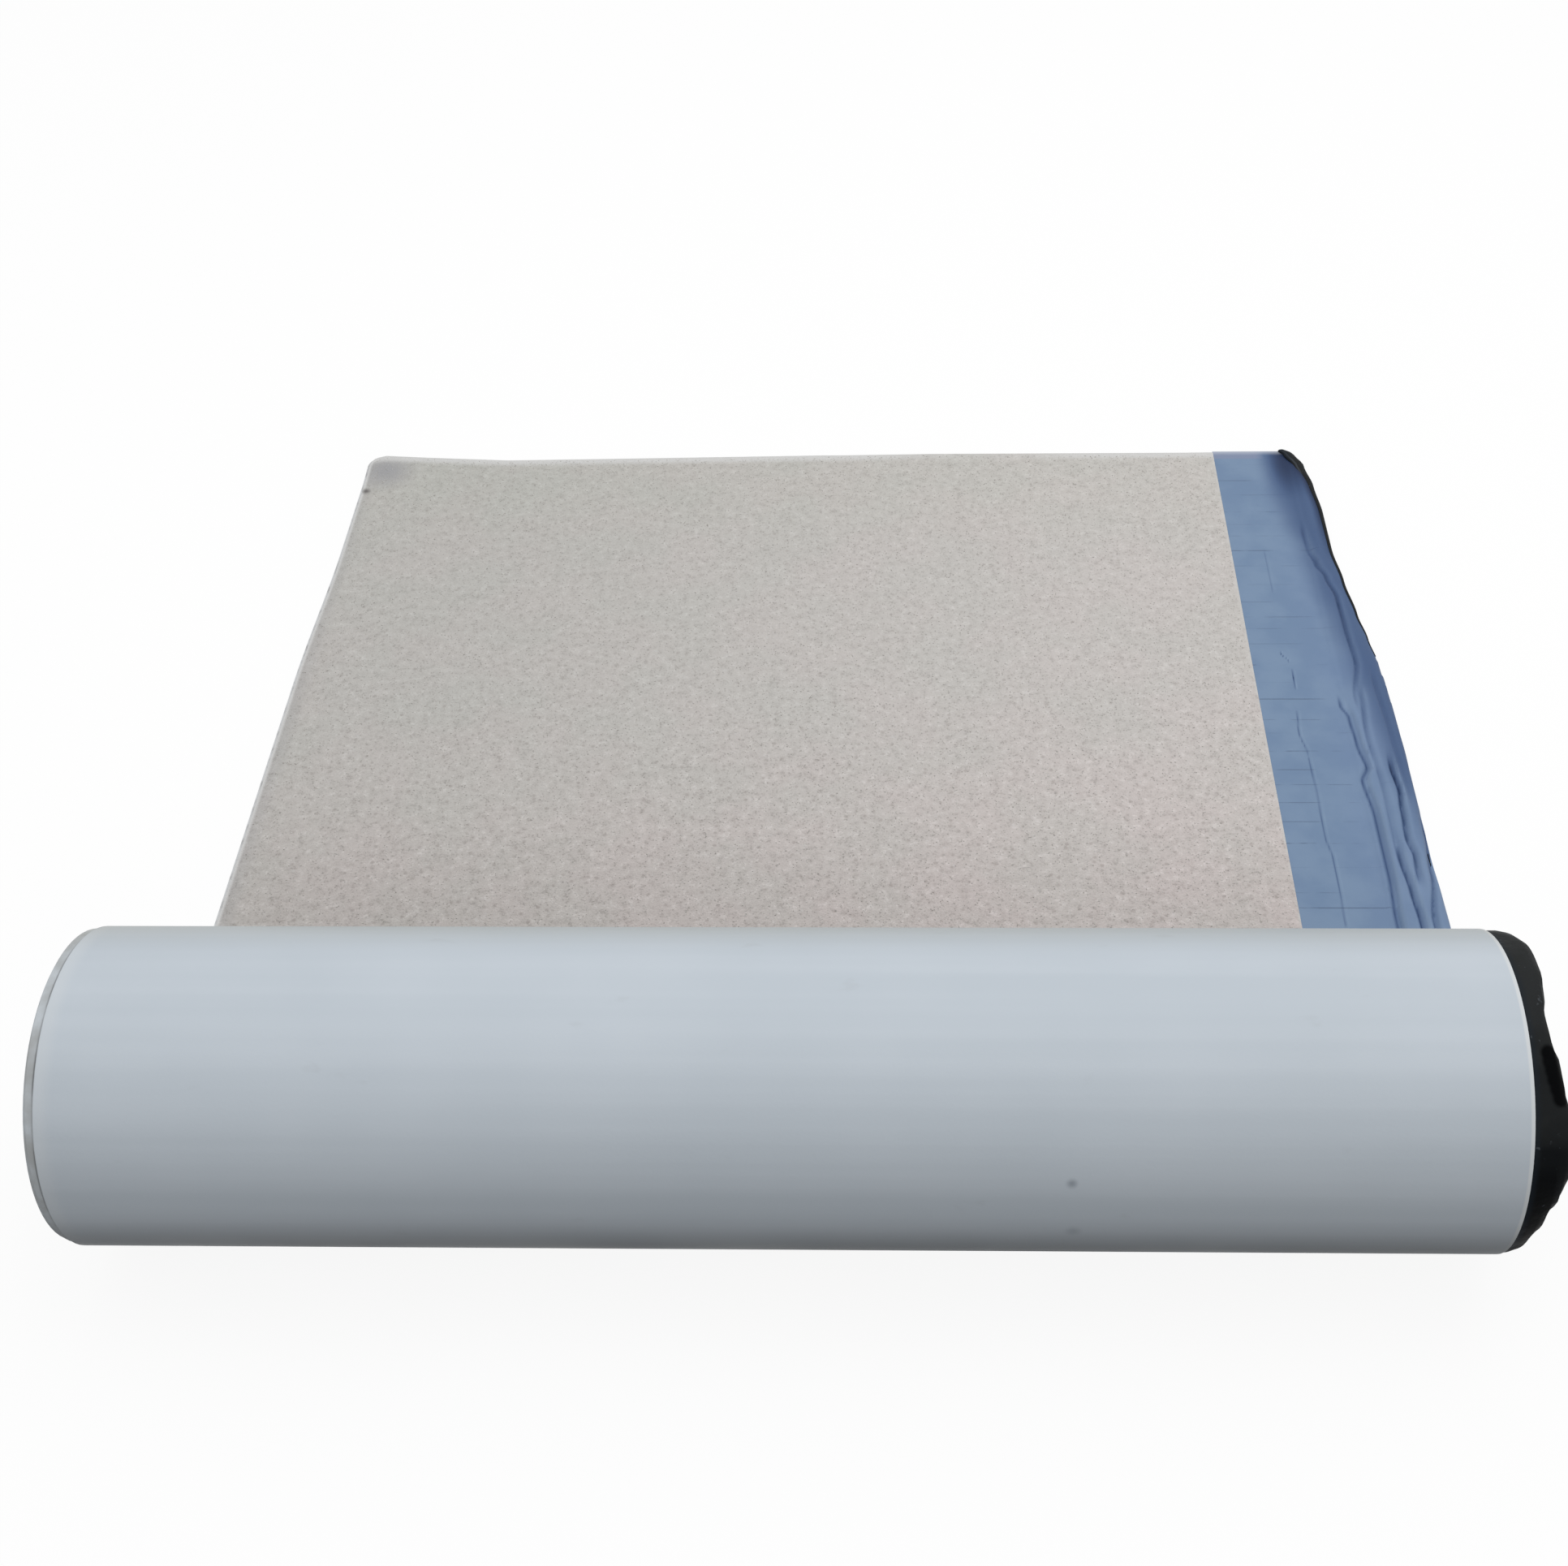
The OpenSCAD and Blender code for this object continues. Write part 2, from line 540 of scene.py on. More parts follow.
@dataclass(frozen=True)
class Winding:
    """The spiral that the sheet is wound in.

    It is made of half-turns. Those in front turn about the roll's axis, and those behind about a line
    half a sheet higher, so each one meets the next and the outermost runs out level with the floor.

    Attributes:
        radius: Radius of the outermost half-turn's outer face.
        pitch: Thickness of one turn.
        turns: Turns from the tail to the bore.
        wander: How far the inner turns stand out to the left of the outer turn.
        slack: How far the upper back is flattened.
    """

    radius: float
    pitch: float
    turns: int = 38
    wander: float = 8.5 * MM
    slack: float = 1.9 * MM

    def wind_up(self, sheet: bpy.types.Object, steps: int) -> None:
        """Winds up a sheet from its near edge, which is selected in edit mode.

        The edge is copied once for each turn, all copies are spun through the front half-turn at once and
        then through the back one, and each turn's end then lies on the next turn's start.

        Args:
            sheet: The sheet, which is left in object mode.
            steps: Steps in each half-turn.
        """
        bpy.ops.mesh.duplicate()
        bpy.ops.mesh.separate(type="SELECTED")
        bpy.ops.object.mode_set(mode="OBJECT")
        starts = next(piece for piece in bpy.context.selected_objects if piece is not sheet)
        Modeller.clear_selection()
        starts.select_set(True)
        bpy.context.view_layer.objects.active = starts
        array = starts.modifiers.new("turns", "ARRAY")
        array.count = self.turns
        array.use_relative_offset = False
        array.use_constant_offset = True
        array.constant_offset_displace = (0.0, 0.0, self.pitch)
        bpy.ops.object.modifier_apply(modifier=array.name)
        bpy.ops.object.mode_set(mode="EDIT")
        bpy.ops.mesh.select_all(action="SELECT")
        for height in (self.radius, self.radius + self.pitch / 2):
            bpy.ops.mesh.spin(steps=steps, angle=math.pi, center=(0.0, 0.0, height), axis=(1.0, 0.0, 0.0))
        bpy.ops.object.mode_set(mode="OBJECT")
        sheet.select_set(True)
        bpy.context.view_layer.objects.active = sheet
        bpy.ops.object.join()

    def turn_at(self, place: Vector, inset: float) -> float | None:
        """Finds how far along the spiral a point is.

        Args:
            place: A point of a layer before it is shaped.
            inset: How far that layer lies inside the winding's outer face.

        Returns:
            The number of turns from the tail, or None on the tail itself.
        """
        if place.y > ON_LINE and place.z < inset + self.pitch / 4:
            return None
        behind = 1 if place.y > ON_LINE else 0
        rise = place.z - self.radius - behind * self.pitch / 2
        distance = math.hypot(place.y, rise)
        turn = round((self.radius - inset - distance) / self.pitch - behind / 2)
        angle = math.atan2(place.y, rise) if behind else math.atan2(max(0.0, -place.y), -rise)
        return turn + behind / 2 + angle / math.tau

    def settle(self, place: Vector) -> Vector:
        """Flattens the upper back of the roll a little, where the sheet was slackened.

        Args:
            place: A point of the round roll.

        Returns:
            Its place on the settled roll.
        """
        lean = Vector((0.0, 0.82, 0.57))
        height = max(0.0, (place - Vector((0.0, 0.0, self.radius))).dot(lean)) / self.radius
        return place - lean * (self.slack * height * height)

    def drift(self, turn: float) -> float:
        """Gives the sideways shift of a turn.

        Args:
            turn: Turns from the tail.

        Returns:
            The shift to the left, nothing on the outer turn, then a slow wander with small slips.
        """
        period, steady, slip = 7.2, 0.6, 0.35 * MM
        slow = self.wander * (steady + (1 - steady) * math.cos(math.tau * (turn - 2) / period))
        slips = slip * (math.sin(2.3 * turn + 1.0) + math.sin(7.1 * turn))
        return (slow + slips) * smooth(0.5, 1.75, turn)


@dataclass(frozen=True)
class CarrierFinish:
    """Smooth white polyethylene with a satin face, faint bands, a few handling marks and painted light and
    shade.

    Attributes:
        nicks: The marks on the roll's front, as X, degrees up from the front, radius and strength.
    """

    nicks: tuple[tuple[float, float, float, float], ...] = ((199 * MM, 20.7, 5.5 * MM, 0.5),
                                                            (202 * MM, -3.0, 8 * MM, 0.25))
    nick: Colour = (0.10, 0.12, 0.16)
    light: Colour = (0.568, 0.622, 0.678)
    deep: Colour = (0.528, 0.583, 0.638)
    scuff: Colour = (0.42, 0.45, 0.48)
    # Painted highlight colour of the thin rims along the carrier's edges.
    rim: Colour = (0.66, 0.69, 0.71)
    # Colour of the painted shade and grime on the inner turns at the left end.
    shade_and_grime: Colour = (0.40, 0.415, 0.42)
    # Colour of the painted shadow along the step at the left end.
    line: Colour = (0.15, 0.155, 0.16)
    # Colour of the painted shade and sand reflection at the roll's back.
    dust_and_shade: Colour = (0.40, 0.41, 0.375)
    # Colour of the painted shade under the roll.
    under: Colour = (0.19, 0.205, 0.22)

    def make(self, stock: Stock) -> bpy.types.Material:
        """Builds the material.

        Args:
            stock: Sizes of the sheet, for the rims along its edges.

        Returns:
            The material.
        """
        shader = Shader("carrier_satin")
        bands = shader.noise(1.0, 2.0, shader.stretched((0.7, 34.0, 34.0)))
        clouds = shader.noise(7.0, 3.0)
        colour = shader.mix(shader.remap(shader.blend(0.6, bands, clouds), 0.35, 0.65), self.deep, self.light)
        marks = shader.remap(shader.noise(55.0, 4.0, shader.stretched((0.5, 1.0, 1.0))), 0.67, 0.78, 0.0, 0.2)
        colour = shader.mix(marks, colour, self.scuff)
        across = shader.axis("X")
        # Painted highlight: a thin paler rim along the outer face's right edge.
        right_rim_highlight = shader.remap(across, stock.half_width - 3.2 * MM, stock.half_width - 1.8 * MM)
        colour = shader.mix(right_rim_highlight, colour, self.rim)
        edge = stock.drawn_in - stock.half_width
        # A fainter painted highlight along the outer turn's left edge.
        left_rim = shader.remap(across, edge + 14 * MM, edge + 3 * MM, 0.0, 0.35)
        colour = shader.mix(left_rim, colour, self.rim)
        # Painted shade and grime: the inner turns that stand out past the outer turn's left edge are painted
        # darker and blotchy.
        smudges = shader.remap(shader.noise(45.0, 4.0), 0.3, 0.7, 0.15, 1.0)
        proud = shader.remap(across, edge, edge - 0.3 * MM)
        colour = shader.mix(shader.times(proud, smudges), colour, self.shade_and_grime)
        # Painted shadow: a broken dark line on the inner turns where the outer turn's left edge steps down
        # onto them.
        step_shadow = shader.line(across, edge - 0.8 * MM, 1.6 * MM)
        broken = shader.remap(shader.noise(24.0, 4.0), 0.36, 0.6, 0.25, 0.9)
        colour = shader.mix(shader.times(step_shadow, broken), colour, self.line)
        # Painted shade and reflection of the sand: the roll is painted darker and warmer towards its back,
        # over the tail.
        back = shader.remap(shader.axis("Y"), 0.25 * stock.roll_radius, 0.7 * stock.roll_radius, 0.0, 0.48)
        colour = shader.mix(back, colour, self.dust_and_shade)
        # Painted shade: the roll is painted darker low down, towards the floor.
        low = shader.remap(shader.axis("Z"), 1.12 * stock.roll_radius, 0.6 * stock.roll_radius, 0.0, 0.85)
        colour = shader.mix(low, colour, self.under)
        for x, degrees, radius, strength in self.nicks:
            spot = shader.near(stock.on_roll(x, degrees), radius)
            colour = shader.mix(shader.times(spot, strength), colour, self.nick)
        roughness = shader.remap(clouds, 0.3, 0.7, 0.45, 0.55)
        skin = shader.bump(shader.noise(420.0, 2.0), 0.04 * MM)
        return shader.finish(colour, roughness, shader.bump(bands, 0.8 * MM, skin), 0.1)


@dataclass(frozen=True)
class MarginFinish:
    """The carrier's bare inner face, which shows as a pale margin beside the facing."""

    pale: Colour = (0.62, 0.63, 0.64)
    smear: Colour = (0.42, 0.42, 0.425)

    def make(self) -> bpy.types.Material:
        """Builds the material.

        Returns:
            The material.
        """
        shader = Shader("carrier_margin")
        smears = shader.remap(shader.noise(70.0, 4.0), 0.45, 0.7)
        colour = shader.mix(smears, self.pale, self.smear)
        return shader.finish(colour, 0.55, shader.bump(shader.noise(600.0), 0.1 * MM))


@dataclass(frozen=True)
class CutEdgeFinish:
    """The carrier's knife-cut edge, paler and rougher than its face, with dust in it."""

    clean: Colour = (0.56, 0.59, 0.61)
    dust_and_shade: Colour = (0.37, 0.37, 0.36)

    def make(self) -> bpy.types.Material:
        """Builds the material.

        Returns:
            The material.
        """
        shader = Shader("carrier_cut_edge")
        dust = shader.remap(shader.noise(38.0, 5.0), 0.42, 0.72)
        colour = shader.mix(dust, self.clean, self.dust_and_shade)
        return shader.finish(colour, 0.7, shader.bump(shader.noise(900.0), 0.1 * MM), 0.3)


@dataclass(frozen=True)
class AdhesiveFinish:
    """The dark adhesive that shows along the facing's cut edges."""

    black: Colour = (0.030, 0.029, 0.028)
    brown: Colour = (0.075, 0.068, 0.058)

    def make(self) -> bpy.types.Material:
        """Builds the material.

        Returns:
            The material.
        """
        shader = Shader("adhesive")
        colour = shader.mix(shader.remap(shader.noise(160.0, 4.0), 0.4, 0.7), self.black, self.brown)
        return shader.finish(colour, 0.6, shader.bump(shader.noise(800.0), 0.2 * MM))


@dataclass(frozen=True)
class SandFinish:
    """Fine sand pressed into the adhesive: mixed grains, soft stains, a paler far edge and painted light and
    shade.

    Attributes:
        attribute: Name of the vertex attribute that rises to 1 at the tail's far and left edges.
    """

    attribute: str = "rim"
    stops: Stops = (
        (0.00, (0.24, 0.22, 0.205)),
        (0.14, (0.42, 0.395, 0.375)),
        (0.36, (0.545, 0.52, 0.495)),
        (0.72, (0.60, 0.575, 0.55)),
        (1.00, (0.80, 0.78, 0.755)),
    )
    warm: Colour = (0.61, 0.56, 0.538)
    cool: Colour = (0.545, 0.553, 0.515)
    # Painted light: tints that make the tail darker to the left and lighter to the right.
    left_shade_tint: Colour = (0.915, 0.92, 0.925)
    right_light_tint: Colour = (1.05, 1.03, 1.045)
    shade_tint: Colour = (0.95, 0.94, 0.94)
    near_tint: Colour = (1.012, 0.996, 0.997)
    middle_tint: Colour = (0.994, 1.001, 1.0)
    far_tint: Colour = (0.98, 1.0, 0.985)
    pale_edge: Colour = (0.70, 0.70, 0.695)
    # Colour of the painted shade along the left edge and at the far left corner, where it is partly a stain.
    shade_and_stain: Colour = (0.375, 0.375, 0.385)
    spot: Colour = (0.17, 0.16, 0.155)
    dark_dot: Colour = (0.36, 0.33, 0.31)
    pale: Colour = (0.62, 0.61, 0.59)

    def make(self, stock: Stock) -> bpy.types.Material:
        """Builds the material.

        Args:
            stock: Sizes of the sheet, for the marks along its edges.

        Returns:
            The material.
        """
        shader = Shader("sand_facing")
        distance, tone = shader.cells(600.0)
        mottle = shader.remap(shader.noise(120.0, 3.0), 0.3, 0.7)
        grains = shader.ramp(shader.blend(0.46, tone, mottle), self.stops)
        stains = shader.mix(shader.remap(shader.noise(11.0, 4.0), 0.35, 0.65), self.cool, self.warm)
        colour = shader.mix(0.4, grains, stains)
        dot_distance, dot_tone = shader.cells(130.0)
        dark_ones = shader.remap(dot_tone, 0.58, 0.7, 0.0, 0.7)
        dots = shader.times(shader.remap(dot_distance, 0.36, 0.08), dark_ones)
        colour = shader.mix(dots, colour, self.dark_dot)
        pale_ones = shader.remap(dot_tone, 0.16, 0.06, 0.0, 0.8)
        flecks = shader.times(shader.remap(dot_distance, 0.26, 0.1), pale_ones)
        colour = shader.mix(flecks, colour, self.pale)
        along, across = shader.axis("Y"), shader.axis("X")
        plain = shader.mix(0.5, self.cool, self.warm)
        colour = shader.mix(shader.remap(along, 0.1, 0.75 * stock.tail, 0.1, 0.42), colour, plain)
        # Painted light: the tail is painted darker to the left and lighter to the right.
        light_falloff = shader.remap(across, -stock.half_width, stock.lap_line)
        colour = shader.mix(1.0, colour, shader.mix(light_falloff, self.left_shade_tint, self.right_light_tint), "MULTIPLY")
        colour = shader.mix(shader.remap(along, 0.38, 0.25), colour, self.shade_tint, "MULTIPLY")
        tint = shader.mix(shader.remap(along, 0.33, 0.55), self.near_tint, self.middle_tint)
        tint = shader.mix(shader.remap(along, 0.73, 0.86), tint, self.far_tint)
        colour = shader.mix(1.0, colour, tint, "MULTIPLY")
        ragged = shader.remap(shader.noise(110.0, 3.0), 0.35, 0.65, 0.0, 0.8)
        lap_rim = shader.remap(across, stock.lap_line - 2.4 * MM, stock.lap_line - 1.2 * MM)
        colour = shader.mix(shader.times(ragged, lap_rim), colour, self.pale)
        # Painted shade: darker along the tail's left edge.
        left_edge_shade = shader.remap(across, 22 * MM - stock.half_width, 4 * MM - stock.half_width, 0.0, 0.35)
        colour = shader.mix(left_edge_shade, colour, self.shade_and_stain)
        # Partly painted shade of the lifted far left corner, partly a stain.
        corner = (26 * MM - stock.half_width, stock.tail - 30 * MM, stock.pitch)
        colour = shader.mix(shader.near(corner, 42 * MM), colour, self.shade_and_stain)
        # Paler along the tail's far and left edges, less so over part of the far edge.
        rim = shader.attribute(self.attribute)
        kept = shader.line(across, 170 * MM, 160 * MM)
        worn = shader.times(shader.remap(rim, 0.15, 0.9), shader.remap(kept, 0.0, 1.0, 0.8, 0.25))
        colour = shader.mix(worn, colour, self.pale_edge)
        pit = (11 * MM - stock.half_width, stock.tail - 65 * MM, stock.pitch)
        colour = shader.mix(shader.near(pit, 7 * MM), colour, self.spot)
        coarse = shader.bump(distance, -0.5 * MM)
        fine = shader.bump(shader.noise(1700.0, 2.0), 0.2 * MM, coarse)
        return shader.finish(colour, 0.85, fine, 0.25)


@dataclass(frozen=True)
class GrainFinish:
    """Loose-looking grains that stand out of the facing, each with its own tone.

    Attributes:
        attribute: Name of the vertex attribute that holds the tone.
        stops: Colours from the darkest tone to the palest.
    """

    attribute: str = "tone"
    stops: Stops = (
        (0.00, (0.38, 0.36, 0.34)),
        (0.22, (0.48, 0.46, 0.435)),
        (0.60, (0.54, 0.52, 0.495)),
        (1.00, (0.65, 0.635, 0.61)),
    )

    def make(self) -> bpy.types.Material:
        """Builds the material.

        Returns:
            The material.
        """
        shader = Shader("sand_grain")
        colour = shader.ramp(shader.attribute(self.attribute), self.stops)
        return shader.finish(colour, 0.75, shader.bump(shader.noise(2500.0, 2.0), 0.1 * MM), 0.35)


@dataclass(frozen=True)
class BlueFilmFinish:
    """The lap film's blue face: thin satin film with fine lines, painted shade and highlights and a paler far
    end.

    Attributes:
        attribute: Name of the vertex attribute that holds the painted shade of the creases and the fall, and
            below 0 painted highlights.
    """

    attribute: str = "crease"
    blue: Colour = (0.172, 0.254, 0.390)
    faded: Colour = (0.202, 0.288, 0.422)
    violet: Colour = (0.172, 0.246, 0.415)
    shaded: Colour = (0.038, 0.077, 0.185)
    # Colour of the deepest painted shade, in the creases and valleys.
    crease: Colour = (0.012, 0.020, 0.055)
    # Colour of the painted highlight on the lit flanks of the valleys.
    crest_highlight: Colour = (0.28, 0.38, 0.52)
    pale_far_end: Colour = (0.25, 0.28, 0.40)
    pale_edge: Colour = (0.55, 0.59, 0.66)

    def make(self, stock: Stock) -> bpy.types.Material:
        """Builds the material.

        Args:
            stock: Sizes of the sheet, for the lines across the lap and the paler band along the far end.

        Returns:
            The material.
        """
        shader = Shader("film_blue")
        across, along = shader.axis("X"), shader.axis("Y")
        clouds = shader.noise(22.0, 4.0)
        colour = shader.mix(shader.remap(clouds, 0.35, 0.65), self.blue, self.faded)
        # Painted shade: fine creases across the lap, drawn as broken dark lines that are also bumped.
        settings = {"voronoi_dimensions": "1D", "feature": "DISTANCE_TO_EDGE"}
        gaps = shader.add("ShaderNodeTexVoronoi", settings, {"W": along, "Scale": 42.0}).outputs["Distance"]
        lines = shader.remap(gaps, 0.035, 0.0)
        lengths = shader.noise(1.0, 1.0, shader.stretched((0.0, 60.0, 0.0)))
        reach = shader.remap(lengths, 0.35, 0.65, 30 * MM, 100 * MM)
        spent = shader.math("SUBTRACT", shader.math("SUBTRACT", across, stock.lap_line), reach)
        lines = shader.times(lines, shader.remap(spent, 12 * MM, -12 * MM))
        broken = shader.noise(1.0, 2.0, shader.stretched((35.0, 140.0, 0.0)))
        lines = shader.times(lines, shader.remap(broken, 0.42, 0.56))
        weight = shader.noise(1.0, 1.0, shader.stretched((0.0, 47.0, 0.0)))
        lines = shader.times(lines, shader.remap(weight, 0.38, 0.62, 0.15, 1.0))
        colour = shader.mix(shader.times(lines, 0.5), colour, self.crease)
        loose = shader.remap(across, stock.half_width - 50 * MM, stock.half_width + 25 * MM, 0.0, 0.8)
        colour = shader.mix(shader.times(loose, shader.noise(14.0, 3.0)), colour, self.violet)
        # Painted shade where the film falls away from the light and in its creases and valleys, and below 0
        # painted highlights on their lit flanks.
        dark = shader.attribute(self.attribute)
        colour = shader.mix(shader.remap(dark, 0.0, 0.8, 0.0, 0.85), colour, self.shaded)
        colour = shader.mix(shader.remap(dark, 0.55, 1.0, 0.0, 0.8), colour, self.crease)
        colour = shader.mix(shader.remap(dark, 0.0, -1.0), colour, self.crest_highlight)
        # Paler along the far end where the film is not shaded, and paler still at its very edge.
        far = shader.remap(along, stock.tail - 15 * MM, stock.tail - 11 * MM, 0.0, 0.7)
        clear = shader.remap(dark, 0.5, 0.1)
        colour = shader.mix(shader.times(far, clear), colour, self.pale_far_end)
        worn = shader.remap(along, stock.tail - 8 * MM, stock.tail, 0.0, 0.6)
        colour = shader.mix(worn, colour, self.pale_edge)
        roughness = shader.remap(clouds, 0.3, 0.7, 0.38, 0.5)
        fine = shader.bump(shader.noise(240.0, 3.0), 0.12 * MM)
        return shader.finish(colour, roughness, shader.bump(lines, -0.25 * MM, fine), 0.12)


@dataclass(frozen=True)
class BlackFilmFinish:
    """The lap film's black back, satin with dust in places, worn edges, painted shade and one painted
    highlight.

    Attributes:
        attribute: Name of the vertex attribute that holds the wear, a painted highlight and, below 0, painted
            shade.
        fold: Places in a deep fold that is painted as dark shade, as degrees up from the front and reach past
            the carrier's edge.
    """

    attribute: str = "wear_and_painted_light"
    fold: tuple[Point, ...] = ((66, 12 * MM), (63, 12.5 * MM), (60, 13.5 * MM), (57, 14.5 * MM),
                               (54, 16 * MM), (51, 17.5 * MM))
    black: Colour = (0.0060, 0.0070, 0.0080)
    dust: Colour = (0.027, 0.029, 0.030)
    olive: Colour = (0.022, 0.023, 0.016)
    bluish: Colour = (0.016, 0.022, 0.030)
    fleck: Colour = (0.075, 0.085, 0.095)
    edge: Colour = (0.075, 0.085, 0.098)
    # Colour of the painted shade in the fold and low at the front.
    depth: Colour = (0.0012, 0.0014, 0.0018)

    def make(self, stock: Stock) -> bpy.types.Material:
        """Builds the material.

        Args:
            stock: Sizes of the sheet, for the fold and the strip beside the carrier's edge.

        Returns:
            The material.
        """
        shader = Shader("film_black")
        dust = shader.remap(shader.noise(26.0, 5.0), 0.48, 0.75, 0.0, 0.7)
        dust_and_shade = shader.mix(shader.remap(shader.noise(18.0, 2.0), 0.45, 0.6), self.dust, self.olive)
        colour = shader.mix(dust, self.black, dust_and_shade)
        # Dust and worn edges from the attribute, with the rolled-up corner's painted highlight, and below 0
        # painted shade that darkens the film to near black.
        wear_and_painted_light = shader.attribute(self.attribute)
        colour = shader.mix(shader.remap(wear_and_painted_light, 0.0, 0.6, 0.0, 0.8), colour, self.dust)
        colour = shader.mix(shader.remap(wear_and_painted_light, 0.85, 1.0), colour, self.edge)
        colour = shader.mix(shader.remap(wear_and_painted_light, 0.0, -1.0), colour, self.depth)
        edge = stock.half_width
        beside = shader.remap(shader.axis("X"), edge + 6 * MM, edge + 1 * MM, 0.0, 0.5)
        colour = shader.mix(beside, colour, self.bluish)
        flecks = shader.remap(shader.noise(170.0, 2.0), 0.67, 0.74, 0.0, 0.6)
        colour = shader.mix(flecks, colour, self.fleck)
        # Painted shade: a deep fold at the front, drawn as dark spots along it.
        for degrees, reach in self.fold:
            place = stock.on_roll(edge + reach, degrees, stock.carrier)
            colour = shader.mix(shader.remap(shader.near(place, 9 * MM), 0.05, 0.6), colour, self.depth)
        roughness = shader.remap(dust, 0.0, 0.7, 0.5, 0.7)
        return shader.finish(colour, roughness, shader.bump(shader.noise(140.0, 4.0), 0.6 * MM), 0.03)


@dataclass
class WoundLayer:
    """One layer of the sheet: a strip on the floor whose near edge is wound up into the roll.

    Attributes:
        name: Name of the piece.
        stock: Sizes of the sheet.
        winding: The spiral.
        left: X of the left edge.
        right: X of the right edge.
        inset: How far the layer lies inside the winding's outer face.
        thickness: How thick it is.
        columns: Quads across the sheet, before the extra lines near its edges.
        rows: Quads along the tail.
        steps: Steps in each half-turn.
        left_lines: Extra lines beside the left edge, as distances from it.
        right_line: Extra line beside the right edge.
        far_lines: Extra lines beside the far edge.
        left_pale_band: Width of the paler band along the left edge.
        far_pale_band: Width of the paler band along the far edge.
    """

    name: str
    stock: Stock
    winding: Winding
    left: float
    right: float
    inset: float
    thickness: float
    columns: int
    rows: int = 60
    steps: int = 40
    left_lines: tuple[float, ...] = (4 * MM, 15 * MM, 60 * MM, 150 * MM)
    right_line: float = 4 * MM
    far_lines: tuple[float, ...] = (4 * MM, 10 * MM, 18 * MM)
    left_pale_band: float = 5 * MM
    far_pale_band: float = 18 * MM

    def build(self, finishes: Sequence[bpy.types.Material]) -> None:
        """Models the layer as a sheet, winds it up, and gives it thickness and finish.

        Args:
            finishes: Materials for the outer face, the inner face and the cut edge.
        """
        piece = Modeller.grid(self.name, (self.left, 0.0), (self.right, self.stock.tail), self.inset,
                              self.columns, self.rows)
        bpy.ops.object.mode_set(mode="EDIT")
        Modeller.cut_lines(piece, 0, [self.left + step for step in self.left_lines])
        Modeller.cut_lines(piece, 0, [self.right - self.right_line])
        Modeller.cut_lines(piece, 1, [self.stock.tail - step for step in self.far_lines])
        Modeller.select_vertices(piece, lambda co: co.y < ON_LINE)
        self.winding.wind_up(piece, self.steps)
        rims = Modeller.attribute(piece, SandFinish.attribute)
        for vertex in piece.data.vertices:
            turn = self.winding.turn_at(vertex.co, self.inset)
            if turn is None:
                far_rim = smooth(self.stock.tail - self.far_pale_band, self.stock.tail, vertex.co.y)
                left_rim = smooth(self.left + self.left_pale_band, self.left, vertex.co.x)
                rims.data[vertex.index].value = max(far_rim, left_rim)
                vertex.co = self.stock.lay(vertex.co)
            else:
                vertex.co = self.winding.settle(self.stock.drawn(vertex.co, turn))
                vertex.co.x -= self.winding.drift(turn)
        tail_start = 0.2 * self.stock.tail
        Modeller.face_outwards(piece, lambda centre: centre.y > tail_start, Vector((0, 0, -1)))
        Modeller.dress(piece, finishes)
        Modeller.thicken(piece, self.thickness)
        bpy.ops.object.shade_smooth_by_angle(angle=math.radians(35))
        Modeller.seat(piece, Node.MEMBRANE)


